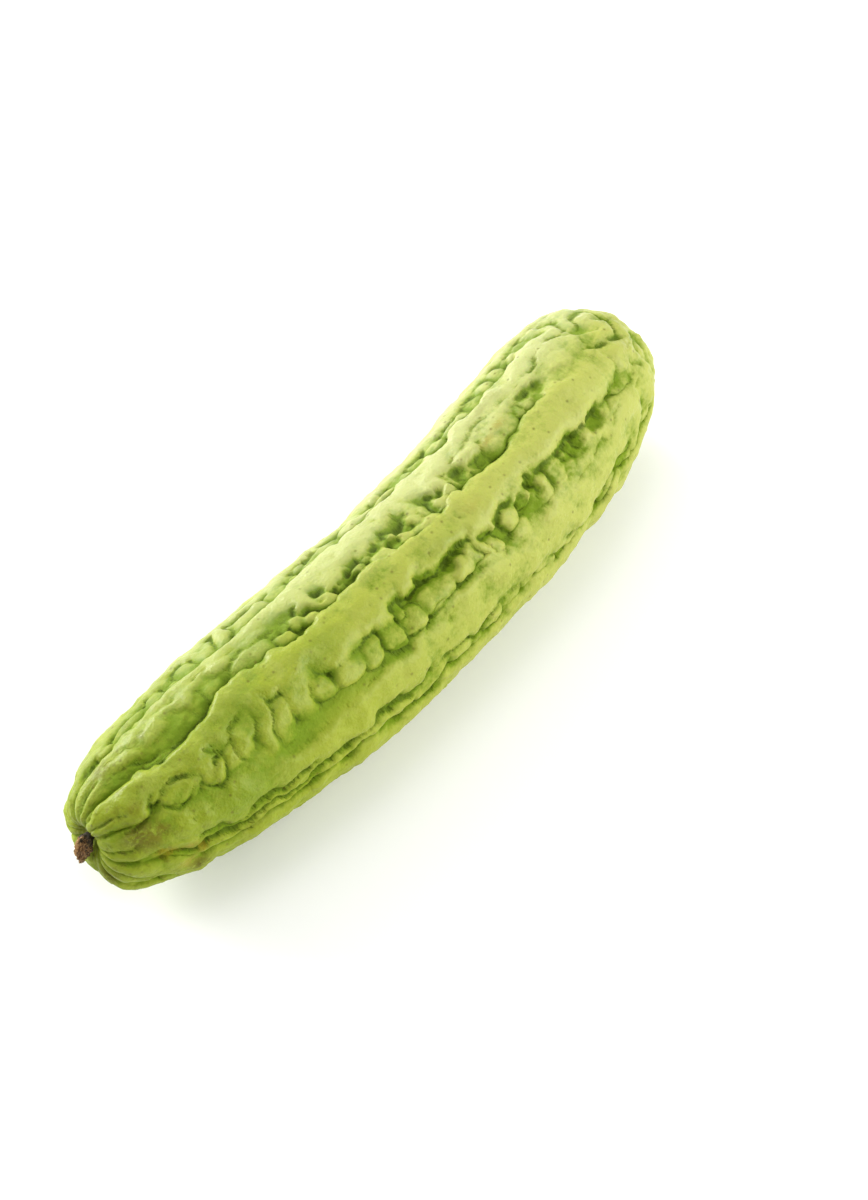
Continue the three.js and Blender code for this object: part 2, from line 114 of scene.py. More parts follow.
def smoothStep(value, low, high):
    # 3t^2 - 2t^3, with t the value's share of the way from low to high
    t = np.clip((value - low) / (high - low), 0, 1)
    return t * t * (3 - 2 * t)


def numberDraws(seed):
    # a function that draws a number between two bounds, in the same order for the same seed
    state = seed * 7919 + 13

    def between(low, high):
        nonlocal state
        state = state * 48271 % 2147483647
        return low + (high - low) * (state / 2147483647)

    return between


body = {
    "length": 280.0,
    "crestRadius": 33.6,
    "bow": 16.0,  # how far the middle of the axis bows towards -Y
    "bowLean": 0.2,
    "waist": 0.012,
    "waistPlace": 0.58,
    "restCut": 0.6,
    "blossomEnd": {"reach": 98.0, "bluntness": 3.5, "pitDepth": 4.5, "pitRadius": 5.2},
    "stemEnd": {"reach": 70.0, "bluntness": 4.3, "pitDepth": 8.0, "pitRadius": 10.0},
    "sag": {"amount": 5.0, "top": 0.3, "reach": 0.2},  # the underside of the blossom end juts out
    "hollowRise": {"amount": 3.4, "from": 4.0, "to": 24.0},  # and its hollow sits over its axis
    "capRadius": 24.0,  # where the ends hand over to the body
    "rows": 452,
    "ridgeColumns": (12, 14, 16, 14, 10, 8, 8, 9, 10),
    "valleyColumns": (21, 21, 15, 11, 9, 9, 9, 10, 14),
}
relief = {
    "ridgeRise": 4.2,
    "roundness": 0.4,  # power of a wart's flanks: 1 is a parabola, 0.5 a quarter circle
    "wartSquareness": 3.0,
    "wartGrowth": (1.13, 1.1),  # warts are this much larger than their creases, along and round
    "blendPower": 11,
    "crown": 0.12,
    "comb": 0.35,  # depth of the short folds across the creases
    "ripple": 1.0,  # depth of the folds that run across the floors of the valleys
    "ridgeLean": 0.9,  # how far the flanks of a ridge hang over its creases
    "wartLean": 1.1,
    "wartTilt": 0.22,  # warts are higher on the side that their valley's floor climbs towards
    "reliefRadius": 20.0,
    "firstWart": 0.055,
    "lastWart": 0.93,
    "pinchBlossom": 0.09,
    "pinchStem": 0.88,
    "pinchLeast": 0.25,
    "calmFrom": 0.86,
    "calmTo": 0.98,
    "calmLeft": 0.3,
    "calmHollow": 0.6,  # share of the relief taken away in the blossom end's hollow
    "wanderAlong": 4.0,  # how far noise shifts the whole pattern, in millimetres
    "wanderRound": 3.4,
    "bulge": 5.0,
    "combRound": 0.6,
    "sunk": 0.55,  # how far the whole skin lies in, so that its swells stay inside the body
    "swell": 1.1,
    "dimple": 0.5,
    "scoop": 0.6,
    "fold": 1.5,
    "vein": 0.35,
    "groove": 1.3,
    "grooveWidth": 2.4,
    "stemTop": 10,  # the middle of the stem end's top, in degrees round it
    "pit": 1.3,
    "evenAngle": -18,  # the top of the blossom half is smoother round this angle, by this share
    "evenShare": 0.85,
    "paintedSheenAngle": -35,  # a painted sheen is laid round this angle, on the side that faces the back light
    "pleats": 18,
    "blossomPleat": 1.0,
    "stemPleat": 0.3,
}

# Scoops in the ridges at the stem end: place, angle, half length, half width, turn in degrees, depth.
scoops = [
    (0.905, 12, 6.5, 2.8, 40, 1.7),
    (0.925, 0, 6.0, 2.6, 50, 1.5),
    (0.943, 22, 7.5, 2.8, 35, 1.7),
    (0.962, 5, 6.0, 2.4, 55, 1.5),
    (0.975, 33, 6.0, 2.6, 40, 1.6),
    (0.93, 46, 5.5, 2.2, 65, 1.1),
    (0.955, 62, 5.5, 2.2, 75, 1.0),
    (0.9, 66, 5.0, 2.0, 80, 0.8),
    (0.97, 84, 5.0, 2.2, 80, 1.0),
]

# Fine creases: depth and half width in millimetres, then the points (place, angle) that they run through.
engraved = [
    (1.1, 1.1, [(0.076, 30), (0.08, 40), (0.09, 46), (0.104, 43), (0.12, 34)]),
    (0.8, 1.0, [(0.077, 29), (0.088, 26), (0.104, 24), (0.124, 30)]),
    (1.0, 1.0, [(0.147, 20), (0.155, 27), (0.164, 26)]),
    (1.2, 1.1, [(0.165, 24), (0.161, 34), (0.154, 46), (0.143, 49), (0.131, 42), (0.122, 34)]),
    (1.1, 1.1, [(0.064, 30), (0.061, 36), (0.05, 40), (0.036, 43), (0.02, 42), (0.008, 41)]),
    (0.8, 1.0, [(0.072, -8), (0.085, -3), (0.096, 2), (0.112, 2)]),
    (1.0, 1.0, [(0.18, 26), (0.177, 33), (0.178, 39), (0.184, 44)]),
    (1.0, 1.0, [(0.4, 46), (0.43, 47), (0.47, 48), (0.5, 46.5), (0.55, 46.5), (0.575, 47)]),
]

# Pits in the valleys: place, angle, half length, half width, depth.
pits = [
    (0.314, -9.5, 3.0, 2.2, 1.0),
    (0.352, -12.5, 3.0, 2.2, 1.2),
    (0.384, -11, 2.4, 2.2, 1.2),
    (0.425, -10.5, 2.4, 2.4, 1.5),
    (0.43, -2.5, 3.0, 2.0, 1.4),
    (0.475, -13, 2.6, 2.2, 1.5),
    (0.5, -4, 2.2, 2.4, 1.4),
    (0.523, -9.5, 2.4, 2.2, 1.6),
    (0.55, -11, 3.0, 2.0, 1.5),
    (0.57, -4, 2.2, 2.4, 1.4),
    (0.592, -8, 2.8, 2.2, 1.5),
    (0.63, -5.5, 3.0, 2.4, 1.5),
    (0.664, -3, 3.4, 2.4, 1.0),
    (0.71, -2, 3.0, 2.0, 1.0),
    (0.78, -8, 3.4, 2.6, 0.6),
    (0.803, -2, 3.4, 2.4, 0.8),
    (0.43, 25.5, 4.0, 2.0, 1.4),
    (0.477, 26, 3.6, 2.0, 1.5),
    (0.503, 26.5, 3.4, 2.2, 1.5),
    (0.528, 31.5, 2.2, 2.6, 1.4),
    (0.55, 25.5, 3.4, 2.2, 1.6),
    (0.587, 31.5, 3.0, 2.4, 1.4),
    (0.614, 30.5, 2.8, 2.4, 1.6),
    (0.637, 27.5, 3.4, 2.0, 1.5),
    (0.656, 38.5, 2.2, 2.8, 1.3),
    (0.685, 33, 2.2, 3.0, 1.6),
    (0.712, 29, 3.6, 2.2, 1.5),
    (0.752, 39.5, 2.2, 3.2, 1.6),
    (0.772, 38.5, 2.0, 3.4, 1.1),
    (0.81, 40.5, 3.6, 2.8, 0.9),
]

# Edges of the ridges round the gourd at even steps along it; one number is an edge that keeps its angle.
ridgeEdges = [
    (
        [-30, -31, -31, -32, -36, -38, -36, -33, -31, -35, -36],
        [-12, -13, -13, -12, -11, -10, -8, -10, -6, -10, -12],
    ),
    ([5, 5, 2, 5, 2, 2, 5, 6, 6, 10, 12], [28, 28, 25, 28, 30, 26, 32, 33, 38, 37, 36]),
    ([42, 51, 54, 52, 47, 46, 46, 50, 47, 46, 46], [68, 72, 71, 77, 75, 77, 81, 83, 78, 76, 76]),
    ([90], [112]),
    ([128], [151]),
    ([166], [194]),
    ([209], [232]),
    ([247], [271]),
    ([286], [312]),
]

# Floor of the valley after each ridge: the side it climbs towards, its height there at even steps along,
# and the two places between which the whole floor rises almost to the ridges at the stem end.
floors = [
    (-1, [0.5, 0.65, 0.72, 0.55, 0.35, 0.35, 0.5, 0.7, 0.78, 0.8, 0.8], (0.68, 0.86)),
    (1, [0.6, 0.75, 0.75, 0.6, 0.45, 0.35, 0.45, 0.65, 0.75, 0.7, 0.6], (0.82, 0.95)),
    (-1, [0.5, 0.45, 0.4, 0.4, 0.45, 0.5], (0.86, 0.97)),
    (1, [0.35], (0.86, 0.98)),
    (-1, [0.3], (0.86, 0.98)),
    (1, [0.3], (0.86, 0.98)),
    (1, [0.4], (0.86, 0.98)),
    (-1, [0.35], (0.84, 0.97)),
    (-1, [0.4], (0.8, 0.95)),
]
filledFloor = 0.92

# Warts of the two uppermost valleys: start and end along, edges round, rise, slant.
topWarts = [
    (0.085, 0.125, -4, 6, 0.4, 0),
    (0.196, 0.223, -12, 2, 0.62, 0),
    (0.237, 0.304, -12, 4, 0.86, 0),
    (0.304, 0.33, -12, -4, 0.7, 0),
    (0.304, 0.33, -5, 4, 0.75, 0),
    (0.33, 0.354, -12, -1, 0.8, 0.2),
    (0.346, 0.37, -5, 7, 0.8, 0.2),
    (0.368, 0.395, -14, 2, 0.85, 0.4),
    (0.402, 0.42, -10, -1, 0.6, 0.2),
    (0.418, 0.434, -10, -1, 0.62, 0.2),
    (0.398, 0.468, -2, 14, 0.95, 0),
    (0.432, 0.452, -9, 1, 0.68, 0.2),
    (0.45, 0.47, -11, -2, 0.64, 0.2),
    (0.462, 0.508, -5, 14, 0.95, 0.3),
    (0.468, 0.486, -11, -3, 0.62, 0),
    (0.484, 0.502, -11, -2, 0.68, 0),
    (0.5, 0.514, -10, 3, 0.72, 0),
    (0.512, 0.534, -5, 5, 0.8, 0.2),
    (0.53, 0.574, -5, 14, 0.92, 0.3),
    (0.535, 0.552, -10, 0, 0.72, 0),
    (0.55, 0.572, -11, -2, 0.8, 0),
    (0.572, 0.594, -9, 7, 0.8, 0.3),
    (0.592, 0.612, -10, 4, 0.72, 0.3),
    (0.614, 0.628, -8, 4, 0.5, 0.2),
    (0.628, 0.642, -8, 5, 0.48, 0.2),
    (0.642, 0.656, -8, 5, 0.46, 0.2),
    (0.656, 0.672, -8, 5, 0.48, 0.2),
    (0.678, 0.748, -12, 5, 0.88, 0),
    (0.75, 0.764, -7, 5, 0.6, 0),
    (0.762, 0.782, -7, 5, 0.72, 0),
    (0.8, 0.832, -8, 5, 0.8, 0),
    (0.832, 0.858, -10, 7, 0.76, 0),
    (0.858, 0.884, -13, 6, 0.78, 0.2),
    (0.884, 0.91, -11, 8, 0.74, 0.2),
]
flankWarts = [
    (0.022, 0.062, 16, 36, 0.9, 0),
    (0.078, 0.126, 24, 45, 0.86, -0.3),
    (0.125, 0.15, 12, 50, 0.92, -0.5),
    (0.138, 0.162, 30, 50, 0.9, -0.3),
    (0.152, 0.184, 28, 48, 0.86, -0.3),
    (0.163, 0.19, 12, 31, 0.9, -0.5),
    (0.1755, 0.2095, 20, 46, 0.9, -0.8),
    (0.2077, 0.2343, 19, 50, 0.88, -0.75),
    (0.232, 0.2595, 26, 50, 0.84, -0.4),
    (0.261, 0.291, 25, 47.5, 0.8, 0.3),
    (0.29, 0.325, 27, 41, 0.8, 0.3),
    (0.328, 0.369, 26, 45, 0.84, 0),
    (0.366, 0.398, 29, 46, 0.84, 0),
    (0.402, 0.427, 28, 46, 0.8, 0),
    (0.43, 0.448, 26, 34, 0.62, 0),
    (0.427, 0.464, 33, 47, 0.85, 0),
    (0.463, 0.518, 31, 47, 0.86, 0),
    (0.517, 0.557, 33, 46, 0.84, 0),
    (0.55, 0.567, 29, 46, 0.8, 0.4),
    (0.566, 0.582, 22, 47, 0.86, 0.4),
    (0.582, 0.6, 33, 47, 0.7, 0.3),
    (0.615, 0.645, 25, 45, 0.78, 0.2),
    (0.652, 0.672, 28, 42, 0.7, 0),
    (0.681, 0.702, 28, 52, 0.82, 0),
    (0.704, 0.734, 34, 55, 0.86, -0.1),
    (0.741, 0.756, 38, 57, 0.76, 0),
    (0.774, 0.801, 38, 56, 0.85, 0.1),
    (0.827, 0.851, 37, 50, 0.82, 0),
    (0.867, 0.9, 33, 47, 0.8, 0),
]
lowFolds = [
    (0.03, 0.13, 73, 79, 0.7, 0),
    (0.06, 0.24, 80, 86, 0.85, 0),
    (0.14, 0.34, 73, 79, 0.8, 0),
    (0.25, 0.41, 80, 87, 0.85, 0),
]
placedWarts = {0: topWarts, 1: flankWarts, 2: lowFolds}
drawnFrom = {0: 1, 1: 1, 2: 0.4}  # where the drawn warts of a valley start, if not at its first place
ridgeCount = len(ridgeEdges)


def smoothThrough(values, place):
    # cubic through values at even steps, with slopes from the values on both sides
    if len(values) == 1:
        return np.full(np.shape(place), float(values[0]))
    values = np.array(values, float)
    last = len(values) - 1
    scaled = np.clip(place, 0, 1) * last
    step = np.minimum(np.floor(scaled).astype(int), last - 1)
    t = scaled - step
    b, c = values[step], values[step + 1]
    slopeB = (c - values[np.maximum(step - 1, 0)]) / 2
    slopeC = (values[np.minimum(step + 2, last)] - b) / 2
    t2, t3 = t * t, t**3
    ends = (2 * t3 - 3 * t2 + 1) * b + (3 * t2 - 2 * t3) * c
    return ends + (t3 - 2 * t2 + t) * slopeB + (t3 - t2) * slopeC


def openEdge(values, place, phase):
    # the edge's angle, with two slow sine waves on an edge of one number
    wave = 2 * np.sin(7.3 * place + phase) + 1.2 * np.sin(17.9 * place + 2.6 * phase)
    return smoothThrough(values, place) + (wave if len(values) == 1 else 0)


def valleyEdges(k, place):
    # the valley after ridge k: its open width, closed towards both ends of the gourd
    following = (k + 1) % ridgeCount
    start = openEdge(ridgeEdges[k][1], place, 1.7 * k + 0.8)
    end = openEdge(ridgeEdges[following][0], place, 1.7 * following) + (360 if following == 0 else 0)
    opened = smoothStep(place, 0, relief["pinchBlossom"]) * (1 - smoothStep(place, relief["pinchStem"], 1))
    share = relief["pinchLeast"] + (1 - relief["pinchLeast"]) * opened
    middle, half = (start + end) / 2, (end - start) / 2 * share
    return middle - half, middle + half


def ridgeBounds(k, place):
    # from the end of the valley before a ridge to the start of the one after it
    before = valleyEdges((k - 1) % ridgeCount, place)[1] - (360 if k == 0 else 0)
    return before, valleyEdges(k, place)[0]


def drawnWarts(k):
    # again and again along the valley: one broad wart, two small ones abreast, or a long one
    between = numberDraws(k + 3)
    warts = []
    place = drawnFrom.get(k, relief["firstWart"]) + between(0, 0.01)
    while place < relief["lastWart"]:
        start, end = (float(edge) for edge in valleyEdges(k, place))
        kind = between(0, 1)
        reach = between(0.026, 0.038)
        slant = between(-0.35, 0.35)
        if kind < 0.5:
            low = start - between(-0.5, 2.5)
            warts.append((place, place + reach, low, end + between(-0.5, 2), between(0.7, 0.9), slant))
        elif kind < 0.82:
            reach = between(0.02, 0.027)
            middle = start + (end - start) * between(0.4, 0.6)
            offset = between(0, 0.01)
            warts.append((place, place + reach, start - 1, middle + 0.8, between(0.55, 0.8), slant))
            shifted = place + offset
            warts.append((shifted, shifted + reach, middle - 0.8, end + 1, between(0.55, 0.8), slant))
        else:
            reach = between(0.045, 0.065)
            low = start + between(0, 2)
            warts.append((place, place + reach, low, end - between(0, 2), between(0.75, 0.9), 0))
        place += reach * between(0.94, 1.03)
    return warts


def drawnLobes(k, side):
    # cushions that stand out over the start (side -1) or the end (side 1) of a ridge
    between = numberDraws(40 + 2 * k + side)
    lobes = []
    smoothHalf = k == 2 and side < 0  # the blossom half of this edge has none
    place = (0.4 if smoothHalf else 0.05) + between(0, 0.03)
    while place < 0.94:
        reach = between(0.03, 0.055)
        edge = float(ridgeBounds(k, place)[0 if side < 0 else 1])
        out = edge + side * between(1.2, 3.6)
        inner = edge - side * 11
        lobes.append((place, place + reach, min(out, inner), max(out, inner), 0.96, 0))
        place += reach * between(1.1, 1.7)
    return lobes


def drawnScoops():
    # more scoops over the far side of the stem end, at random places and turns
    between = numberDraws(61)
    drawn = []
    for angle in np.arange(105, 350, 17):
        place, turnedTo = between(0.86, 0.95), angle + between(-6, 6)
        halfLength, halfWidth = between(3, 6), between(2, 3.4)
        drawn.append((place, turnedTo, halfLength, halfWidth, between(0, 80), between(0.7, 1.5)))
    return drawn


def bodyRadius(x):
    # two blunt superellipse ends on a straight middle with a faint waist
    blossomEnd, stemEnd = body["blossomEnd"], body["stemEnd"]
    fromBlossom = np.minimum(x / blossomEnd["reach"], 1)
    fromStem = np.minimum((body["length"] - x) / stemEnd["reach"], 1)
    blossom = (1 - (1 - fromBlossom) ** 2) ** (1 / blossomEnd["bluntness"])
    stem = (1 - (1 - fromStem) ** 2) ** (1 / stemEnd["bluntness"])
    slim = body["waist"] * np.exp(-(((x / body["length"] - body["waistPlace"]) / 0.13) ** 2))
    return body["crestRadius"] * blossom * stem * (1 - slim)


def capInset(end, r):
    # how far an end lies in from its tip plane: a dome, plus depth / (1 + (r / pit radius)^4)
    dome = end["reach"] * (1 - np.sqrt(1 - (r / body["crestRadius"]) ** end["bluntness"]))
    return dome + end["pitDepth"] / (1 + (r / end["pitRadius"]) ** 4)


def axisAt(x):
    # the bowed axis y = -bow (1 - u^2)(1 + lean u), with u from -1 to 1 along the chord
    u = 2 * x / body["length"] - 1
    y = -body["bow"] * (1 - u * u) * (1 + body["bowLean"] * u)
    slope = -body["bow"] * (body["bowLean"] - 2 * u - 3 * body["bowLean"] * u * u) * 2 / body["length"]
    point = np.stack([x - body["length"] / 2, y, 0 * x], -1)
    along = np.stack([np.ones_like(x), slope, 0 * x], -1)
    return point, along / np.linalg.norm(along, axis=-1, keepdims=True)


def bodyProfile(rows):
    # (along, out) points from pole to pole, at even distances along the profile
    r = np.linspace(0, body["capRadius"], 200)
    blossomX = capInset(body["blossomEnd"], r)
    stemX = body["length"] - capInset(body["stemEnd"], r)
    middleX = np.linspace(blossomX[-1], stemX[-1], 1200)[1:-1]
    x = np.concatenate([blossomX, middleX, stemX[::-1]])
    out = np.concatenate([r, bodyRadius(middleX), r[::-1]])
    reach = np.concatenate([[0], np.cumsum(np.hypot(np.diff(x), np.diff(out)))])
    even = np.linspace(0, reach[-1], rows + 2)
    return np.interp(even, reach, x), np.interp(even, reach, out)


def bendBlossomEnd(point, place, r):
    # x moves out by sag * smooth step down the underside, z up by the rise inside the hollow's ring
    sag, rise = body["sag"], body["hollowRise"]
    under = smoothStep(sag["top"] - point[..., 2] / body["crestRadius"], 0, sag["top"] + 1)
    middle = (1 - smoothStep(r, rise["from"], rise["to"])) * (place < 0.5)
    moved = point.copy()
    moved[..., 0] -= sag["amount"] * (1 - smoothStep(place, 0, sag["reach"])) * under
    moved[..., 2] += rise["amount"] * middle
    return moved


def skinAngles(place):
    # columns at even shares of each ridge and each valley, so that they follow the edges
    columns = []
    for k in range(ridgeCount):
        for edges, counts in ((ridgeBounds, body["ridgeColumns"]), (valleyEdges, body["valleyColumns"])):
            start, end = edges(k, place)
            shares = np.arange(counts[k]) / counts[k]
            columns.append(start[:, None] + (end - start)[:, None] * shares)
    return np.concatenate(columns, axis=1)


def nearAngle(angle, other):
    # the same angle with whole turns added, so that it lies within half a turn of the other
    return angle + 360 * np.round((other - angle) / 360)


def awayFrom(angle, other):
    # degrees between an angle and another, up to half a turn
    return np.abs(nearAngle(angle, other) - other)


# Widths of each ridge's two flanks: steep where it hangs over a crease, gentle where it runs into one.
flankWidths = [(4, 9), (2.6, 5.5), (7, 4), (4, 6), (3.5, 7), (5, 5), (6, 3.5), (4, 7), (6, 4)]


def climbFrom(edgeDistance, width):
    # from 0 at the foot of a flank to 1 at its shoulder: (1 - (1 - t)^2)^p, with a blunter p on steep flanks
    t = np.clip((edgeDistance + 0.6) / width, 0, 1)
    return (1 - (1 - t) ** 2) ** (0.55 + 0.45 * smoothStep(width, 2.5, 8))


def floorShare(k, place, angle, arc):
    # a straight slope from the foot of one ridge up to the other, fading once it is well under that one,
    # or the height that the floor is filled to where that is more
    start, end = valleyEdges(k, place)
    side, heights, fill = floors[k]
    across = (nearAngle(angle, (start + end) / 2) - start) / (end - start)
    climb = 1 - across if side < 0 else across
    fade = 1 - smoothStep((climb - 1) * (end - start) * arc, 2, 8)
    slope = np.clip(smoothThrough(heights, place) * climb, 0, 0.96)
    return np.maximum(slope, filledFloor * smoothStep(place, *fill) * (climb > -0.3)) * fade


def reliefFields(place, angle, arc):
    # a soft maximum of the valley floors, all ridges and warts, and how far each leans round the gourd
    power = relief["blendPower"]
    total, leaning = np.zeros(place.shape), np.zeros(place.shape)

    def add(block, share, lean):
        # the total grows by share^power, and the leaning by as much times the form's own lean
        weight = share**power
        total[block] += weight
        leaning[block] += weight * lean

    whole = slice(None)
    for k in range(ridgeCount):
        start, end = ridgeBounds(k, place)
        near = nearAngle(angle, (start + end) / 2)
        inside = ((near - start) * arc, (end - near) * arc)
        climbs = [climbFrom(distance, width) for distance, width in zip(inside, flankWidths[k])]
        across = np.clip((near - start) / np.maximum(end - start, 1), 0, 1) * 2 - 1
        ridge = np.minimum(*climbs) * (1 + relief["crown"] * (0.3 - across**2))
        add(whole, ridge, relief["ridgeLean"] * across)
        add(whole, floorShare(k, place, angle, arc), 0)
    cushions = []
    for k in range(ridgeCount):
        for wart in placedWarts.get(k, []) + drawnWarts(k):
            side = -1 if k == 1 and wart[0] < 0.3 else floors[k][0]
            cushions.append((wart, relief["wartLean"], relief["wartTilt"] * side))
        cushions += [(lobe, 0, 0) for side in (-1, 1) for lobe in drawnLobes(k, side)]
    rowPlace = place.mean(axis=1)
    growth = relief["wartGrowth"]
    for (start, end, low, high, rise, slant), lean, tilt in cushions:
        rows = np.flatnonzero(np.abs(rowPlace - (start + end) / 2) < (end - start) + 0.012)
        block = slice(rows[0], rows[-1] + 1)
        middle, halfWidth = (low + high) / 2, (high - low) / 2 * growth[1]
        w = (nearAngle(angle[block], middle) - middle) / halfWidth
        u = (place[block] - (start + end) / 2) / ((end - start) / 2 * growth[0]) - slant * w
        rim = np.abs(u) ** relief["wartSquareness"] + np.abs(w) ** relief["wartSquareness"]
        height = rise * np.clip(1 + tilt * w, 0.3, 1.15)
        add(block, height * np.clip(1 - rim, 0, 1) ** relief["roundness"], lean)
    share = total ** (1 / power)
    leaning = leaning / np.maximum(total, 1e-9) * np.clip(share, 0, 1) ** 1.5
    return share, leaning


def scoopDepth(smooth, place, angle, arc):
    # each scoop sinks slowly across its width and climbs back over its last quarter, along a curved lip
    wobble = 1.6 * softNoise(smooth, 6.0, 57)
    total = np.zeros(angle.shape)
    for where, turnedTo, halfLength, halfWidth, turn, sink in scoops + drawnScoops():
        along = (place[:, None] - where) * body["length"] + wobble
        around = (nearAngle(angle, turnedTo) - turnedTo) * arc
        cosine, sine = math.cos(math.radians(turn)), math.sin(math.radians(turn))
        b = (along * cosine + around * sine) / halfLength
        a = (around * cosine - along * sine) / halfWidth + 0.35 * b**2
        bowl = smoothStep(a, -1, 0.6) * (1 - smoothStep(a, 0.55, 1))
        total = np.maximum(total, sink * bowl * np.clip(1 - b**2, 0, 1))
    return total


def engravedDepth(place, angle, arc):
    # depth * (1 - distance / half width) beside each crease's line, run out to nothing at its two ends
    total = np.zeros(angle.shape)
    for sink, halfWidth, line in engraved:
        for i, ((x, turn), (nextX, nextTurn)) in enumerate(zip(line[:-1], line[1:])):
            along, around = (place[:, None] - x) * body["length"], (nearAngle(angle, turn) - turn) * arc
            reach, rise = (nextX - x) * body["length"], (nextTurn - turn) * arc
            t = np.clip((along * reach + around * rise) / (reach**2 + rise**2), 0, 1)
            distance = np.hypot(along - t * reach, around - t * rise)
            share = (i + t) / (len(line) - 1)
            taper = smoothStep(np.minimum(share, 1 - share), -0.1, 0.25)
            total = np.maximum(total, sink * taper * np.clip(1 - distance / halfWidth, 0, 1))
    return total


def pitDepth(smooth, place, angle, arc):
    # depth * (1 - u^2 - v^2) inside each pit, with a wandering rim
    wobble = [3.0 * softNoise(smooth, 4.5, seed) for seed in (59, 60)]
    total = np.zeros(angle.shape)
    for where, turnedTo, halfLength, halfWidth, sink in pits:
        u = ((place[:, None] - where) * body["length"] + wobble[0]) / halfLength / 1.4
        v = ((nearAngle(angle, turnedTo) - turnedTo) * arc + wobble[1]) / halfWidth / 1.4
        total = np.maximum(total, sink * np.clip(1 - u * u - v * v, 0, 1))
    return total


def foldDepth(smooth, place, angle):
    # cushions between sharp creases, (1 - |noise| / 0.3)^2 of wandering points, on top of the stem end
    wandering = smooth + 5.0 * np.stack([softNoise(smooth, 10.0, seed) for seed in (64, 65, 66)], -1)
    crease = np.clip(1 - np.abs(softNoise(wandering / (11.0, 15, 15), 1.0, 63)) / 0.3, 0, 1) ** 2
    fromTop = awayFrom(angle, relief["stemTop"])
    return relief["fold"] * crease * smoothStep(place, 0.86, 0.94)[:, None] * smoothStep(fromTop, 60, 30)


def stemGrooves(place, angle, arc):
    # each valley runs on into the stalk's pit as a soft groove: exp(-(distance from its middle / width)^2)
    total = np.zeros(angle.shape)
    for k in range(ridgeCount):
        start, end = valleyEdges(k, place)
        middle = ((start + end) / 2)[:, None]
        distance = awayFrom(angle, middle) * arc / relief["grooveWidth"]
        total = np.maximum(total, np.exp(-(distance**2)))
    fromTop = awayFrom(angle, relief["stemTop"])
    return relief["groove"] * total * smoothStep(place, 0.9, 0.95)[:, None] * smoothStep(fromTop, 45, 75)


def veinHeight(smooth):
    # low crest lines where a stretched noise is near zero: (1 - |noise| / 0.25)^1.5
    return np.clip(1 - np.abs(softNoise(smooth / (15.0, 7, 7), 1.0, 83)) / 0.25, 0, 1) ** 1.5


def gridBlur(values, passes):
    # averages each value with its neighbours round and along, again and again
    for _ in range(passes):
        values = (np.roll(values, 1, 1) + 2 * values + np.roll(values, -1, 1)) / 4
        padded = np.concatenate([values[:1], values, values[-1:]])
        values = (padded[:-2] + 2 * values + padded[2:]) / 4
    return values


def skinDepth(smooth, place, angle, r):
    # millimetres that the body is pushed in: rise * (1 - relief share), then swells, folds, creases, pits
    # and pleats; the lean of the flanks round the gourd comes back with it
    alongOnly = place[:, None]
    arc = math.radians(1) * np.maximum(r, relief["reliefRadius"])[:, None] + 0 * angle
    opened = (smoothStep(place, 0.01, 0.08) * (1 - smoothStep(place, 0.9, 1)))[:, None]
    wander = [layeredNoise(smooth, 13.0, seed, 3) for seed in (11, 23)]
    bulge = softNoise(smooth, 19.0, 37)
    comb = softNoise(smooth / (2.0, 7, 7), 1.0, 71)
    warpedPlace = alongOnly + wander[0] * relief["wanderAlong"] / body["length"]
    shift = wander[1] * relief["wanderRound"] + bulge * relief["bulge"] + comb * relief["combRound"]
    warpedAngle = angle + shift * opened / arc
    share, lean = reliefFields(warpedPlace, warpedAngle, arc)

    swell = layeredNoise(smooth, 22.0, 31, 2) + 1.3 * softNoise(smooth, 11.0, 33)
    dimple = layeredNoise(smooth, 6.0, 47, 3)
    ripple = softNoise(smooth / (4.5, 12, 12), 1.0, 77) * smoothStep(alongOnly, 0.5, 0.65)
    fade = np.minimum(r / relief["reliefRadius"], 1)[:, None]
    calm = 1 - (1 - relief["calmLeft"]) * smoothStep(alongOnly, relief["calmFrom"], relief["calmTo"])
    calm = calm * (1 - relief["calmHollow"] * (1 - smoothStep(alongOnly, 0, 0.09)))
    evenTop = smoothStep(awayFrom(angle, relief["evenAngle"]), 32, 18) * smoothStep(alongOnly, 0.55, 0.4)
    uneven = 1 - relief["evenShare"] * evenTop
    depth = relief["sunk"] - relief["swell"] * uneven * swell - relief["dimple"] * dimple
    depth += relief["ridgeRise"] * calm * (1 - share)
    depth += relief["comb"] * (comb + 0.4) * smoothStep(share, 0.55, 0.15)
    depth += relief["ripple"] * ripple * smoothStep(share, 0.85, 0.4)
    depth += relief["scoop"] * scoopDepth(smooth, place, angle, arc) * smoothStep(share, 0.3, 0.8)
    depth += relief["pit"] * pitDepth(smooth, place, angle, arc) * smoothStep(share, 1.0, 0.72)
    depth += foldDepth(smooth, place, angle) - relief["vein"] * uneven * veinHeight(smooth)
    depth += engravedDepth(place, angle, arc) + stemGrooves(place, warpedAngle, arc)

    pleatPhase = np.radians(angle) * relief["pleats"] + 4 * softNoise(smooth, 8.0, 91)
    pleatDepth = relief["blossomPleat"] * (1 - smoothStep(alongOnly, 0.01, 0.07))
    pleatDepth = pleatDepth + relief["stemPleat"] * smoothStep(alongOnly, 0.97, 0.995)
    pleat = pleatDepth * (0.25 + fade) * (1 - np.abs(np.sin(pleatPhase / 2))) ** 2
    return fade * depth + pleat, lean * fade * calm


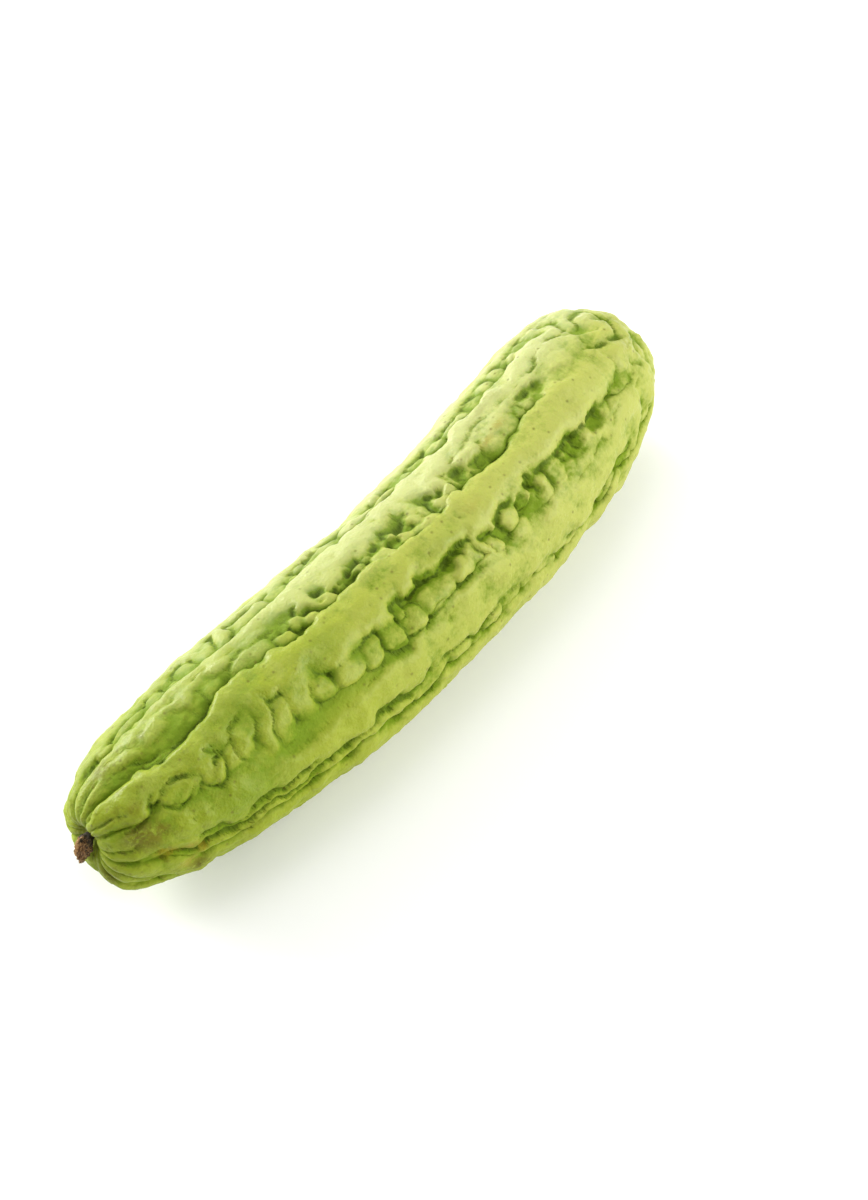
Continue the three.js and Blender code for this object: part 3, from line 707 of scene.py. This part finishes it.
def fruitSurface():
    # the smooth body of circles round the bowed axis, pushed in along its normal by the skin's depth
    x, r = bodyProfile(body["rows"])
    slopeX, slopeR = np.gradient(x), np.gradient(r)
    size = np.hypot(slopeX, slopeR)
    normalAlong, normalOut = -slopeR / size, slopeX / size
    inner = slice(1, -1)
    x, r, normalAlong, normalOut = x[inner], r[inner], normalAlong[inner], normalOut[inner]
    place = x / body["length"]
    angle = skinAngles(place)
    radians = np.radians(angle)
    point, along = axisAt(x)
    up = np.array([0.0, 0.0, 1.0])
    side = np.cross(along, up)
    out = np.cos(radians)[..., None] * up + np.sin(radians)[..., None] * side[:, None, :]
    smooth = point[:, None, :] + out * r[:, None, None]
    normal = out * normalOut[:, None, None] + along[:, None, :] * normalAlong[:, None, None]
    depth, lean = skinDepth(smooth, place, angle, r)
    around = np.cross(along[:, None, :], out)
    points = smooth - normal * depth[..., None] + around * lean[..., None]
    points = bendBlossomEnd(points, place[:, None], r[:, None])
    points[..., 2] = np.maximum(points[..., 2], body["restCut"] - body["crestRadius"])
    poles = [axisAt(np.array(end))[0] for end in (x[0], x[-1])]
    poles[0] = bendBlossomEnd(poles[0], place[0], 0)
    # painted sheen: whitish colour round one angle on the side towards the back light, weaker near the
    # blossom end
    nearPaintedSheen = smoothStep(awayFrom(angle, relief["paintedSheenAngle"]), 48, 12)
    masks = {
        "depth": depth / relief["ridgeRise"],
        "along": place[:, None] + 0 * angle,
        # cavity and crease feed the rind's colour, where they darken hollows and creases partly as painted
        # shade
        "cavity": gridBlur(depth, 40) - depth,
        "crease": np.clip(depth - gridBlur(depth, 4), 0, 1),
        "paintedSheen": nearPaintedSheen * smoothStep(place, -0.1, 0.55)[:, None],
    }
    return points, poles, masks


def closedMesh(name, points, poles, masks):
    # rows of rings joined by quads, with a fan of triangles to one point at each pole
    rows, columns = points.shape[:2]
    flat = np.concatenate([points.reshape(-1, 3), np.array(poles)]) * mm
    index = np.arange(rows * columns).reshape(rows, columns)
    nextColumn = np.roll(index, -1, axis=1)
    quads = np.stack([index[:-1], nextColumn[:-1], nextColumn[1:], index[1:]], -1).reshape(-1, 4)
    firstFan = np.stack([np.full(columns, rows * columns), nextColumn[0], index[0]], -1)
    lastFan = np.stack([np.full(columns, rows * columns + 1), index[-1], nextColumn[-1]], -1)
    mesh = bpy.data.meshes.new(name)
    mesh.vertices.add(len(flat))
    mesh.vertices.foreach_set("co", flat.ravel())
    corners = np.concatenate([quads.ravel(), firstFan.ravel(), lastFan.ravel()])
    sizes = np.concatenate([np.full(len(quads), 4), np.full(2 * columns, 3)])
    mesh.loops.add(len(corners))
    mesh.loops.foreach_set("vertex_index", corners)
    mesh.polygons.add(len(sizes))
    mesh.polygons.foreach_set("loop_start", np.concatenate([[0], np.cumsum(sizes)[:-1]]))
    mesh.update(calc_edges=True)
    mesh.validate()
    mesh.shade_smooth()
    for mask, values in masks.items():
        attribute = mesh.attributes.new(mask, "FLOAT", "POINT")
        ends = [values[0].mean(), values[-1].mean()]
        attribute.data.foreach_set("value", np.concatenate([values.ravel(), ends]).astype(np.float32))
    piece = bpy.data.objects.new(name, mesh)
    bpy.context.scene.collection.objects.link(piece)
    return piece


def fitInto(points, poles, node):
    # stretches and shifts points so that their box is the node's box in the frame
    low, high = (np.array(corner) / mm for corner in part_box(node))
    every = np.concatenate([points.reshape(-1, 3), np.array(poles)])
    stretch = (high - low) / (every.max(0) - every.min(0))
    shift = low - every.min(0) * stretch
    print(node, "stretched by", stretch.round(3))
    return points * stretch + shift, [pole * stretch + shift for pole in poles]


def standFor(piece, node):
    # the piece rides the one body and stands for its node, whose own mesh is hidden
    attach(piece, "root")
    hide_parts(node)


points, poles, fruitMasks = fruitSurface()
points, poles = fitInto(points, poles, "fruit")
fruit = closedMesh("bitter_gourd_skin", points, poles, fruitMasks)
standFor(fruit, "fruit")
print("fruit made:", points.shape)

flower = {
    "columns": 160,
    "rows": 96,
    "line": [  # its middle line: how far out of the hollow and how far down, with its radius
        (0.0, -0.6, 1.5),
        (1.4, -0.8, 2.3),
        (2.8, -0.6, 2.9),
        (4.0, 0.2, 3.1),
        (5.0, 2.6, 2.6),
        (5.7, 5.4, 2.0),
        (6.3, 8.2, 1.25),
        (6.6, 10.0, 0.5),
    ],
    "petals": 5,
    "ribs": 19,
    "ribDepth": 0.14,
    "petalDepth": 0.16,
    "twist": 0.9,
    "ragged": 0.21,  # how far the rim's points run on past its gaps, as a share of the length
    "hang": 11.6,  # millimetres that a point drops for each whole length it runs on
    "crumple": 0.9,
    "scraps": 0.8,
    "pocket": 0.55,  # share of the rows on the outside, the others go back up inside the ragged rim
}


def flowerSurface(flower):
    # rings carried down a drooping line, twisted, ribbed as |sin|, with a rim that ends in ragged points
    line = np.array(flower["line"])
    rows, columns = flower["rows"], flower["columns"]
    t = np.linspace(0, 1, rows)
    outside = flower["pocket"]
    travel = np.where(t < outside, t / outside, 1 - 0.55 * (t - outside) / (1 - outside))
    inner = smoothStep(t, outside - 0.01, outside + 0.04)
    turn = np.linspace(0, 2 * np.pi, columns, endpoint=False)[None, :] + 0 * t[:, None]
    turn = turn + flower["twist"] * travel[:, None] ** 1.5
    jag = 0.5 + 0.5 * np.cos(flower["petals"] * turn + 0.8) * np.cos(2 * turn)
    runOn = flower["ragged"] * (jag - 0.55) * smoothStep(travel, 0.5, 1)[:, None]
    reach = travel[:, None] * (1 + runOn)
    knots = np.linspace(0, 1, len(line))
    along, drop, radius = (np.interp(reach, knots, line[:, i]) for i in range(3))
    drop = drop + np.maximum(reach - 1, 0) * flower["hang"]
    fold = np.abs(np.sin(turn * flower["ribs"] / 2 + 2.2 * np.sin(3 * turn)))
    petal = np.cos(flower["petals"] * turn)
    grow = smoothStep(travel, 0.05, 0.4)[:, None]
    radius = radius * (1 + grow * (flower["ribDepth"] * (fold * 2 - 1) + flower["petalDepth"] * petal))
    radius = radius * (1 - inner[:, None] * 0.35) * (1 - 0.9 * smoothStep(t, 0.93, 1))[:, None]
    slopeOut = np.gradient(np.interp(travel, knots, line[:, 0]), axis=0)
    slopeDrop = np.gradient(np.interp(travel, knots, line[:, 1]), axis=0)
    size = np.hypot(slopeOut, slopeDrop) * np.where(t < outside, 1, -1)
    size = np.where(np.abs(size) < 1e-6, 1e-6, size)
    acrossOut, acrossUp = (slopeDrop / size)[:, None], (slopeOut / size)[:, None]
    lift = radius * np.sin(turn)
    side = radius * np.cos(turn)
    points = np.stack([-along - acrossOut * lift, side, -drop + acrossUp * lift], -1)
    crumple = np.stack([layeredNoise(points + 40, 2.6, seed, 3) for seed in (101, 102, 103)], -1)
    scraps = np.stack([softNoise(points + 40, 1.1, seed) for seed in (104, 105, 106)], -1)
    torn = crumple * flower["crumple"] + scraps * flower["scraps"]
    points = points + torn * (0.3 + grow)[..., None]
    poles = [points[0].mean(0), points[-1].mean(0)]
    # a mask from 0 to 1 towards the flower's -Y side, where painted shade darkens it
    masks = {"fold": fold, "down": travel[:, None] + 0 * turn, "paintedShadeSide": 0.5 - 0.5 * np.cos(turn)}
    return points, poles, masks


points, poles, flowerMasks = flowerSurface(flower)
points, poles = fitInto(points, poles, "dried_flower")
driedFlower = closedMesh("dried_flower_scrap", points, poles, flowerMasks)
standFor(driedFlower, "dried_flower")
print("dried flower made:", points.shape)

stalk = {
    "columns": 120,
    "ribs": 5,
    "ribDepth": 0.08,
    "fibreDepth": 0.02,
    "cutFibre": 0.12,  # how far the fibres stand up out of the cut face, in millimetres
    "roughness": 0.15,
    "clearance": 0.3,
    "profile": [  # height above the pit's floor and radius, from the foot to the dished cut face
        (0.0, 3.4),
        (0.6, 4.2),
        (2.0, 3.3),
        (4.5, 3.0),
        (6.9, 3.12),
        (7.4, 3.0),
        (7.5, 2.75),
        (7.25, 2.4),
        (7.0, 1.4),
        (6.9, 0.7),
        (6.3, 0.35),
    ],
    "rows": 84,
}


def stalkSurface(stalk):
    # a profile turned about the fruit's axis, with cosine ribs, fibres and a dished, fibrous cut face
    profile = np.array(stalk["profile"])
    knots = np.linspace(0, 1, len(profile))
    t = np.linspace(0, 1, stalk["rows"])
    height, radius = np.interp(t, knots, profile[:, 0]), np.interp(t, knots, profile[:, 1])
    height, radius = (np.convolve(np.pad(v, 2, "edge"), np.ones(5) / 5, "valid") for v in (height, radius))
    turn = np.linspace(0, 2 * np.pi, stalk["columns"], endpoint=False)[None, :] + 0 * t[:, None]
    fibres = 0.35 * np.cos(31 * turn + 3 * np.sin(2 * turn)) + 0.25 * np.cos(53 * turn)
    wave = stalk["ribDepth"] * np.cos(stalk["ribs"] * turn) + stalk["fibreDepth"] * fibres
    wide = radius[:, None] * (1 + wave * (1 - smoothStep(t, 0.6, 0.85))[:, None])
    up = height[:, None] + stalk["cutFibre"] * fibres * smoothStep(t, 0.6, 0.7)[:, None]
    local = np.stack([up, wide * np.cos(turn), wide * np.sin(turn)], -1)
    local = local + stalk["roughness"] * layeredNoise(local + 70, 1.8, 131, 3)[..., None]
    pitFloor = body["length"] - body["stemEnd"]["pitDepth"]
    foot, along = axisAt(np.array(pitFloor + stalk["clearance"]))
    up = np.array([0.0, 0.0, 1.0])
    side = np.cross(up, along)
    points = foot + local[..., :1] * along + local[..., 1:2] * side + local[..., 2:] * up
    poles = [points[0].mean(0), points[-1].mean(0)]
    masks = {"cut": smoothStep(t, 0.52, 0.6)[:, None] + 0 * turn, "centre": 1 - wide / 3}
    return points, poles, masks


points, poles, stalkMasks = stalkSurface(stalk)
points, poles = fitInto(points, poles, "stalk_stub")
stalkStub = closedMesh("cut_stalk_end", points, poles, stalkMasks)
standFor(stalkStub, "stalk_stub")
print("stalk made:", points.shape)


class NodeTree:
    # short calls for the nodes of one tree

    def __init__(self, tree):
        self.nodes, self.links = tree.nodes, tree.links

    def feed(self, socket, value):
        # another node's output is linked to the socket, and a plain value is set on it
        if isinstance(value, bpy.types.NodeSocket):
            self.links.new(value, socket)
        else:
            socket.default_value = value

    def put(self, kind, output, settings=(), **inputs):
        # a node of a kind with its settings and inputs; the output socket asked for comes back
        node = self.nodes.new(kind)
        for name, value in dict(settings).items():
            setattr(node, name, value)
        for name, value in inputs.items():
            key = name.replace("_", " ")
            self.feed(node.inputs[int(key[1:]) if key[1:].isdigit() else key], value)
        return node.outputs[output]

    def maths(self, operation, a, b):
        # one operation on two numbers
        return self.put("ShaderNodeMath", 0, {"operation": operation}, i0=a, i1=b)

    def plus(self, a, b):
        # a + b
        return self.maths("ADD", a, b)

    def times(self, a, b):
        # a * b
        return self.maths("MULTIPLY", a, b)

    def vectorMaths(self, operation, a, b, output=0):
        # one operation on two vectors
        return self.put("ShaderNodeVectorMath", output, {"operation": operation}, i0=a, i1=b)

    def ramp(self, value, low, high, floor=0.0, ceiling=1.0):
        # from floor to ceiling as 3t^2 - 2t^3, with t the value's share of the way from low to high
        inputs = {"Value": value, "From_Min": low, "From_Max": high, "To_Min": floor, "To_Max": ceiling}
        return self.put("ShaderNodeMapRange", "Result", {"interpolation_type": "SMOOTHSTEP"}, **inputs)


def effectGroup(name, vectors, values, output):
    # an empty node group with sockets for what goes in and for the one value that comes out
    group = bpy.data.node_groups.new(name, "ShaderNodeTree")
    for kind, labels in (("NodeSocketVector", vectors), ("NodeSocketFloat", values)):
        for label in labels:
            group.interface.new_socket(name=label, in_out="INPUT", socket_type=kind)
    group.interface.new_socket(name=output, in_out="OUTPUT", socket_type="NodeSocketFloat")
    given = group.nodes.new("NodeGroupInput").outputs
    result = group.nodes.new("NodeGroupOutput").inputs[output]
    return group, given, result


def specksGroup():
    # soft dots: 1 at scattered points falling to 0 at the size, kept where a point's own number is high
    group, given, result = effectGroup("specks", ["Vector"], ["Scale", "Size", "Rarity"], "Mask")
    t = NodeTree(group)
    away = t.put("ShaderNodeTexVoronoi", "Distance", Vector=given["Vector"], Scale=given["Scale"])
    chosen = t.maths("GREATER_THAN", away.node.outputs["Color"], given["Rarity"])
    t.feed(result, t.times(t.ramp(away, given["Size"], 0.0), chosen))
    return group


def grainGroup():
    # layered noise with its own stretch: the height of fine pores, wrinkles or fibres
    group, given, result = effectGroup("grain", ["Vector", "Stretch"], ["Scale", "Low", "High"], "Height")
    t = NodeTree(group)
    stretched = t.vectorMaths("MULTIPLY", given["Vector"], given["Stretch"])
    noise = t.put("ShaderNodeTexNoise", "Fac", Vector=stretched, Scale=given["Scale"], Detail=3.0)
    t.feed(result, t.ramp(noise, given["Low"], given["High"]))
    return group


specks, grain = specksGroup(), grainGroup()


class Finish(NodeTree):
    # one material's node tree, with the calls that the finishes below are made of

    def __init__(self, name):
        self.material = bpy.data.materials.new(name)
        self.material.use_nodes = True
        super().__init__(self.material.node_tree)
        self.shader = self.nodes["Principled BSDF"]
        self.position = self.nodes.new("ShaderNodeTexCoord").outputs["Object"]

    def mask(self, name):
        # a number stored at each point of the mesh
        return self.put("ShaderNodeAttribute", "Fac", {"attribute_name": name})

    def noise(self, scale, detail, roughness, offset=(0, 0, 0)):
        # layered noise from 0 to 1 at the place plus the offset
        moved = self.vectorMaths("ADD", self.position, offset)
        inputs = {"Vector": moved, "Scale": scale, "Detail": detail, "Roughness": roughness}
        return self.put("ShaderNodeTexNoise", "Fac", **inputs)

    def blend(self, factor, colour, other):
        # colour * (1 - factor) + other * factor
        node = self.nodes.new("ShaderNodeMix")
        node.data_type = "RGBA"
        self.feed(node.inputs["Factor"], factor)
        for key, value in (("A", colour), ("B", other)):
            self.feed([i for i in node.inputs if i.name == key and i.type == "RGBA"][0], value)
        return [o for o in node.outputs if o.type == "RGBA"][0]

    def group(self, tree, output, **inputs):
        # one of the shared effects, at the place on the piece
        node = self.nodes.new("ShaderNodeGroup")
        node.node_tree = tree
        self.feed(node.inputs["Vector"], self.position)
        for name, value in inputs.items():
            self.feed(node.inputs[name], value)
        return node.outputs[output]

    def near(self, centre, radii):
        # 1 at a place on the surface, falling to 0 one radius away in each direction
        middle, reach = [tuple(value * mm for value in values) for values in (centre, radii)]
        scaled = self.vectorMaths("DIVIDE", self.vectorMaths("SUBTRACT", self.position, middle), reach)
        away = self.put("ShaderNodeVectorMath", "Value", {"operation": "LENGTH"}, i0=scaled)
        return self.ramp(away, 1.0, 0.0)

    def bump(self, height, distance, strength, before=None):
        # the normal tilted by a height, on top of the bump before it
        inputs = {"Height": height, "Distance": distance, "Strength": strength}
        if before is not None:
            inputs["Normal"] = before
        return self.put("ShaderNodeBump", "Normal", **inputs)

    def set(self, **values):
        # values for the shader's own sockets
        for name, value in values.items():
            self.feed(self.shader.inputs[name.replace("_", " ")], value)


rindLook = {
    "pale": (0.32, 0.37, 0.024, 1),
    "green": (0.16, 0.25, 0.006, 1),
    "paintedCreaseShade": (0.05, 0.09, 0.002, 1),
    "stemEndPaleAndPaintedLight": (0.42, 0.45, 0.085, 1),
    "wax": (0.46, 0.5, 0.1, 1),
    "paintedSheen": (0.55, 0.58, 0.32, 1),
    "brown": (0.175, 0.168, 0.008, 1),
    "olive": (0.13, 0.12, 0.008, 1),
    "rust": (0.31, 0.25, 0.012, 1),
    "rose": (0.36, 0.3, 0.04, 1),
    "roughness": (0.32, 0.5),
    "dots": [  # (tint, scale, size, rarity, strength)
        ("olive", 260.0, 0.24, 0.55, 0.7),
        ("green", 380.0, 0.3, 0.4, 0.25),
    ],
    "patches": [  # (tint, centre, radii, strength)
        ("olive", (-129, -4.5, 46), (11, 9, 9), 1.0),
        ("brown", (-126, -7, 46), (7, 6, 6), 1.0),
        ("brown", (-123, -8, 47), (3.5, 3.5, 3.5), 1.0),
        ("brown", (-125.5, 1, 53.5), (5, 4, 3), 0.7),
        ("brown", (-130, 5.5, 52), (3, 2, 4), 0.7),
        ("rust", (-124.5, -10.5, 38), (9, 5, 5), 1.0),
        ("rose", (-118, -15, 37.5), (6, 4, 3), 0.8),
        ("rust", (-114, -16.5, 34.5), (4, 3, 3), 0.9),
        ("rose", (-119.5, -15.5, 30), (7, 5, 4), 0.7),
        ("olive", (-116.5, -16.5, 26.5), (7, 5, 5), 1.0),
        ("olive", (-139, 2.5, 28.5), (7, 6, 6), 0.9),
        ("rose", (63.5, 3, 65.5), (7, 3, 4), 0.6),
        ("rose", (55, 1.5, 65), (6, 3, 4), 0.6),
        ("rose", (30, -12, 65.5), (8, 5, 3), 0.35),
        ("brown", (-122, 19, 53), (6, 4, 6), 0.7),
    ],
    "tonesAndPaintedLight": [  # broad patches of a darker or paler green, partly the rind's own tone and partly painted shade and painted light that set how dark or bright places look: (tint, centre, radii, strength)
        ("green", (-96, -21.5, 45.5), (30, 14, 12), 0.6),
        ("green", (-47, -9.5, 64.5), (16, 10, 6), 0.4),
        ("green", (-85, -4, 63), (26, 12, 10), 0.4),
        ("green", (-56, 8, 62), (17, 9, 9), 0.6),
        ("green", (15, -15, 64), (14, 8, 6), 0.3),
        ("pale", (-52, -29, 50), (26, 12, 14), 0.8),
    ],
}


def rindColour(f, look, depth, crease, along, waxy, fine):
    # three greens by depth and crease, darker in the valleys and hollows partly as painted shade, painted
    # shade in the creases, paler towards the stem end partly as painted light, with wax, a painted sheen,
    # tints and specks on top
    mottle = f.noise(150.0, 4.0, 0.6)
    # darker green down the valleys and in hollows: partly the rind's own greener valleys, partly painted
    # shade
    shade = f.maths("SUBTRACT", f.plus(f.times(depth, 0.85), mottle), f.times(f.mask("cavity"), 0.3))
    # paler towards the stem end: partly the rind's own tone, partly painted light on the more brightly lit
    # stem end
    pale = f.blend(f.ramp(along, 0.2, 0.75), look["pale"], look["stemEndPaleAndPaintedLight"])
    colour = f.blend(f.ramp(f.plus(shade, fine), 0.86, 1.75), pale, look["green"])
    # greener towards the blossom end: partly the rind's own tone, partly painted shade
    colour = f.blend(f.ramp(along, 0.5, 0.0, 0.0, 0.34), colour, look["green"])
    # painted shade: the creases are darkened towards a deep green, standing in for the shade that falls into
    # them
    colour = f.blend(f.ramp(crease, 0.05, 0.6, 0.0, 0.6), colour, look["paintedCreaseShade"])
    # broad patches: partly the rind's own tone, partly painted shade and painted light
    for tint, centre, radii, strength in look["tonesAndPaintedLight"]:
        colour = f.blend(f.times(f.near(centre, radii), strength), colour, look[tint])
    colour = f.blend(f.times(waxy, 0.25), colour, look["wax"])
    # painted sheen: a whitish highlight painted on raised skin on the side that faces the back light
    raised = f.ramp(f.plus(depth, crease), 0.7, 0.0, 0.05, 0.45)
    colour = f.blend(f.times(f.mask("paintedSheen"), raised), colour, look["paintedSheen"])
    tan = f.ramp(f.noise(55.0, 5.0, 0.65, (1, 8, 4)), 0.6, 0.75, 0.0, 0.3)
    colour = f.blend(f.times(tan, f.ramp(depth, 0.4, 0.05)), colour, look["brown"])
    scuff = f.ramp(f.noise(450.0, 5.0, 0.75, (2, 2, 9)), 0.36, 0.54)
    for tint, centre, radii, strength in look["patches"]:
        patch = f.times(f.near(centre, radii), f.times(scuff, strength))
        colour = f.blend(patch, colour, look[tint])
    freckles = f.ramp(f.noise(420.0, 5.0, 0.75, (5, 3, 8)), 0.52, 0.66)
    freckles = f.times(freckles, f.ramp(along, 0.3, 0.0))
    colour = f.blend(f.times(freckles, 0.45), colour, look["olive"])
    for tint, scale, size, rarity, strength in look["dots"]:
        dots = f.group(specks, "Mask", Scale=scale, Size=size, Rarity=rarity)
        colour = f.blend(f.times(dots, strength), colour, look[tint])
    return colour


def rindMaterial(look):
    # the rind's colour under a thin waxy coat: glossy on top of the ridges, dull in the valleys and below
    f = Finish("rind")
    depth, crease, along = f.mask("depth"), f.mask("crease"), f.mask("along")
    fine = f.noise(520.0, 3.0, 0.6, (3, 1, 2))
    waxy = f.times(f.ramp(f.noise(150.0, 5.0, 0.65, (7, 5, 1)), 0.5, 0.68), f.ramp(depth, 0.5, 0.1))
    sunk = f.plus(depth, crease)
    height = f.put("ShaderNodeSeparateXYZ", "Z", Vector=f.position)
    satin = f.ramp(f.plus(waxy, fine), 0.3, 1.1, *look["roughness"])
    hollow = f.ramp(sunk, 0.05, 0.6, 0.0, 0.4)
    under = f.ramp(height, 0.055, 0.025, 0.0, 0.2)
    gloss = f.times(f.ramp(sunk, 0.05, 0.6, 0.42, 0.04), f.ramp(along, 0.15, 0.5, 0.8, 1.0))
    f.set(
        Base_Color=rindColour(f, look, depth, crease, along, waxy, fine),
        Roughness=f.plus(satin, f.plus(hollow, under)),
        Specular_IOR_Level=0.2,
        Coat_Weight=f.times(gloss, f.ramp(height, 0.04, 0.062, 0.0, 0.55)),
        Coat_Roughness=0.3,
        Subsurface_Weight=0.12,
        Subsurface_Radius=(0.5, 1.0, 0.15),
        Subsurface_Scale=0.002,
    )
    wrinkles = f.group(grain, "Height", Stretch=(1, 1, 1), Scale=210.0, Low=0.3, High=0.7)
    comb = f.group(grain, "Height", Stretch=(1, 0.2, 0.2), Scale=620.0, Low=0.4, High=0.62)
    pores = f.group(grain, "Height", Stretch=(1, 1, 1), Scale=1100.0, Low=0.35, High=0.7)
    normal = f.bump(wrinkles, 0.0005, 0.5)
    normal = f.bump(f.times(comb, f.ramp(crease, 0.05, 0.3)), 0.0006, 0.8, normal)
    f.set(Normal=f.bump(pores, 0.00015, 0.5, normal))
    return f.material


flowerLook = {
    "charAndPaintedShade": (0.04, 0.028, 0.014, 1),
    "rust": (0.34, 0.155, 0.05, 1),
    "straw": (0.52, 0.29, 0.11, 1),
}


def flowerMaterial(look):
    # charcoal at the neck and in the folds, rust below, straw on the ribs, and painted shade darkening its
    # -Y side
    f = Finish("dry_flower")
    down, fold, paintedShadeSide = f.mask("down"), f.mask("fold"), f.mask("paintedShadeSide")
    blotch = f.noise(700.0, 3.0, 0.6)
    uneven = f.maths("SUBTRACT", blotch, 0.5)
    fibres = f.group(grain, "Height", Stretch=(1, 1, 0.15), Scale=2600.0, Low=0.3, High=0.7)
    colour = f.blend(f.ramp(f.plus(fold, f.times(blotch, 0.7)), 0.5, 1.4), look["rust"], look["straw"])
    darkeningShares = (
        f.ramp(fold, 0.45, 0.1, 0.0, 0.85),
        # painted shade: the flower's -Y side darkened towards the charcoal colour
        f.ramp(f.plus(paintedShadeSide, f.times(uneven, 1.5)), 0.75, 1.2, 0.0, 0.8),
        f.ramp(f.plus(down, f.times(uneven, 0.6)), 0.42, 0.25),
        f.ramp(fibres, 0.5, 0.1, 0.0, 0.7),
    )
    for share in darkeningShares:
        colour = f.blend(share, colour, look["charAndPaintedShade"])
    f.set(Base_Color=colour, Roughness=0.75, Normal=f.bump(fibres, 0.0003, 0.7))
    return f.material


stalkLook = {
    "green": (0.22, 0.32, 0.06, 1),
    "fibre": (0.42, 0.46, 0.16, 1),
    "cutFace": (0.55, 0.5, 0.26, 1),
    "dryRim": (0.3, 0.2, 0.08, 1),
}


def stalkMaterial(look):
    # green fibres up the side, a pale cut face with a brown drying rim and pith
    f = Finish("cut_stalk")
    cut, centre = f.mask("cut"), f.mask("centre")
    fibres = f.group(grain, "Height", Stretch=(0.12, 1, 1), Scale=1500.0, Low=0.3, High=0.7)
    side = f.blend(fibres, look["green"], look["fibre"])
    face = f.blend(f.ramp(centre, 0.35, 0.0), look["cutFace"], look["dryRim"])
    face = f.blend(f.ramp(centre, 0.68, 0.82, 0.0, 0.8), face, look["dryRim"])
    dots = f.group(specks, "Mask", Scale=900.0, Size=0.3, Rarity=0.3)
    face = f.blend(f.times(dots, 0.4), face, look["dryRim"])
    f.set(Base_Color=f.blend(cut, side, face), Roughness=0.62, Normal=f.bump(fibres, 0.0003, 0.6))
    return f.material


fruit.data.materials.append(rindMaterial(rindLook))
driedFlower.data.materials.append(flowerMaterial(flowerLook))
stalkStub.data.materials.append(stalkMaterial(stalkLook))
print("materials made")

studio = {
    "floorSize": 8.0,
    "floorColour": (0.93, 0.93, 0.925, 1),
    "floorGlow": 0.06,
    "floorRoughness": 0.7,
    "world": (0.28, 0.8),  # strength towards the camera and away from it
    "worldFar": (0.75, 0.61, 0.26),
    "worldTurn": 0.8,  # how far to each side of the middle the strength changes
    "lights": [  # (name, place, size, power, colour)
        ("backLight", (-0.2, 1.25, 0.5), (1.1, 0.5), 24.5, (1, 1, 0.98)),
        ("skyLight", (-0.2, 0.3, 1.8), (0.9, 0.9), 5, (1, 1, 1)),
        ("rightFill", (0.7, -1.2, 0.8), (1.6, 1.2), 24, (1, 1, 0.98)),
    ],
}


def makeFloor(studio):
    # one wide white square at the gourd's resting height
    half = studio["floorSize"] / 2
    corners = [(-half, -half, 0), (half, -half, 0), (half, half, 0), (-half, half, 0)]
    mesh = bpy.data.meshes.new("floor")
    mesh.from_pydata(corners, [], [(0, 1, 2, 3)])
    floor = bpy.data.objects.new("floor", mesh)
    bpy.context.scene.collection.objects.link(floor)
    f = Finish("floor")
    f.set(Base_Color=studio["floorColour"], Roughness=studio["floorRoughness"])
    f.set(Emission_Color=(1, 1, 1, 1), Emission_Strength=studio["floorGlow"])
    mesh.materials.append(f.material)


def areaLight(name, place, size, power, colour):
    # a soft rectangle of light that faces the middle of the gourd
    data = bpy.data.lights.new(name, "AREA")
    data.shape = "RECTANGLE"
    data.size, data.size_y = size
    data.energy = power
    data.color = colour
    light = bpy.data.objects.new(name, data)
    light.location = place
    aim = -np.array(place)
    tilt = math.acos(-aim[2] / np.linalg.norm(aim))
    light.rotation_euler = (tilt, 0, math.atan2(aim[1], aim[0]) - math.pi / 2)
    bpy.context.scene.collection.objects.link(light)


def makeWorld(studio):
    # white all round: its strength is blended from dim on the camera's side to bright on the far side
    world = bpy.data.worlds.new("world")
    world.use_nodes = True
    nodes = world.node_tree.nodes
    t = NodeTree(world.node_tree)
    direction = nodes.new("ShaderNodeTexCoord").outputs["Generated"]
    way = t.vectorMaths("DOT_PRODUCT", direction, studio["worldFar"], "Value")
    strength = t.ramp(way, -studio["worldTurn"], studio["worldTurn"], *studio["world"])
    t.feed(nodes["Background"].inputs["Strength"], strength)
    nodes["Background"].inputs["Color"].default_value = (1, 1, 1, 1)
    bpy.context.scene.world = world


makeFloor(studio)
for settings in studio["lights"]:
    areaLight(*settings)
makeWorld(studio)
bpy.context.scene.view_settings.view_transform = "Standard"
print("studio made")
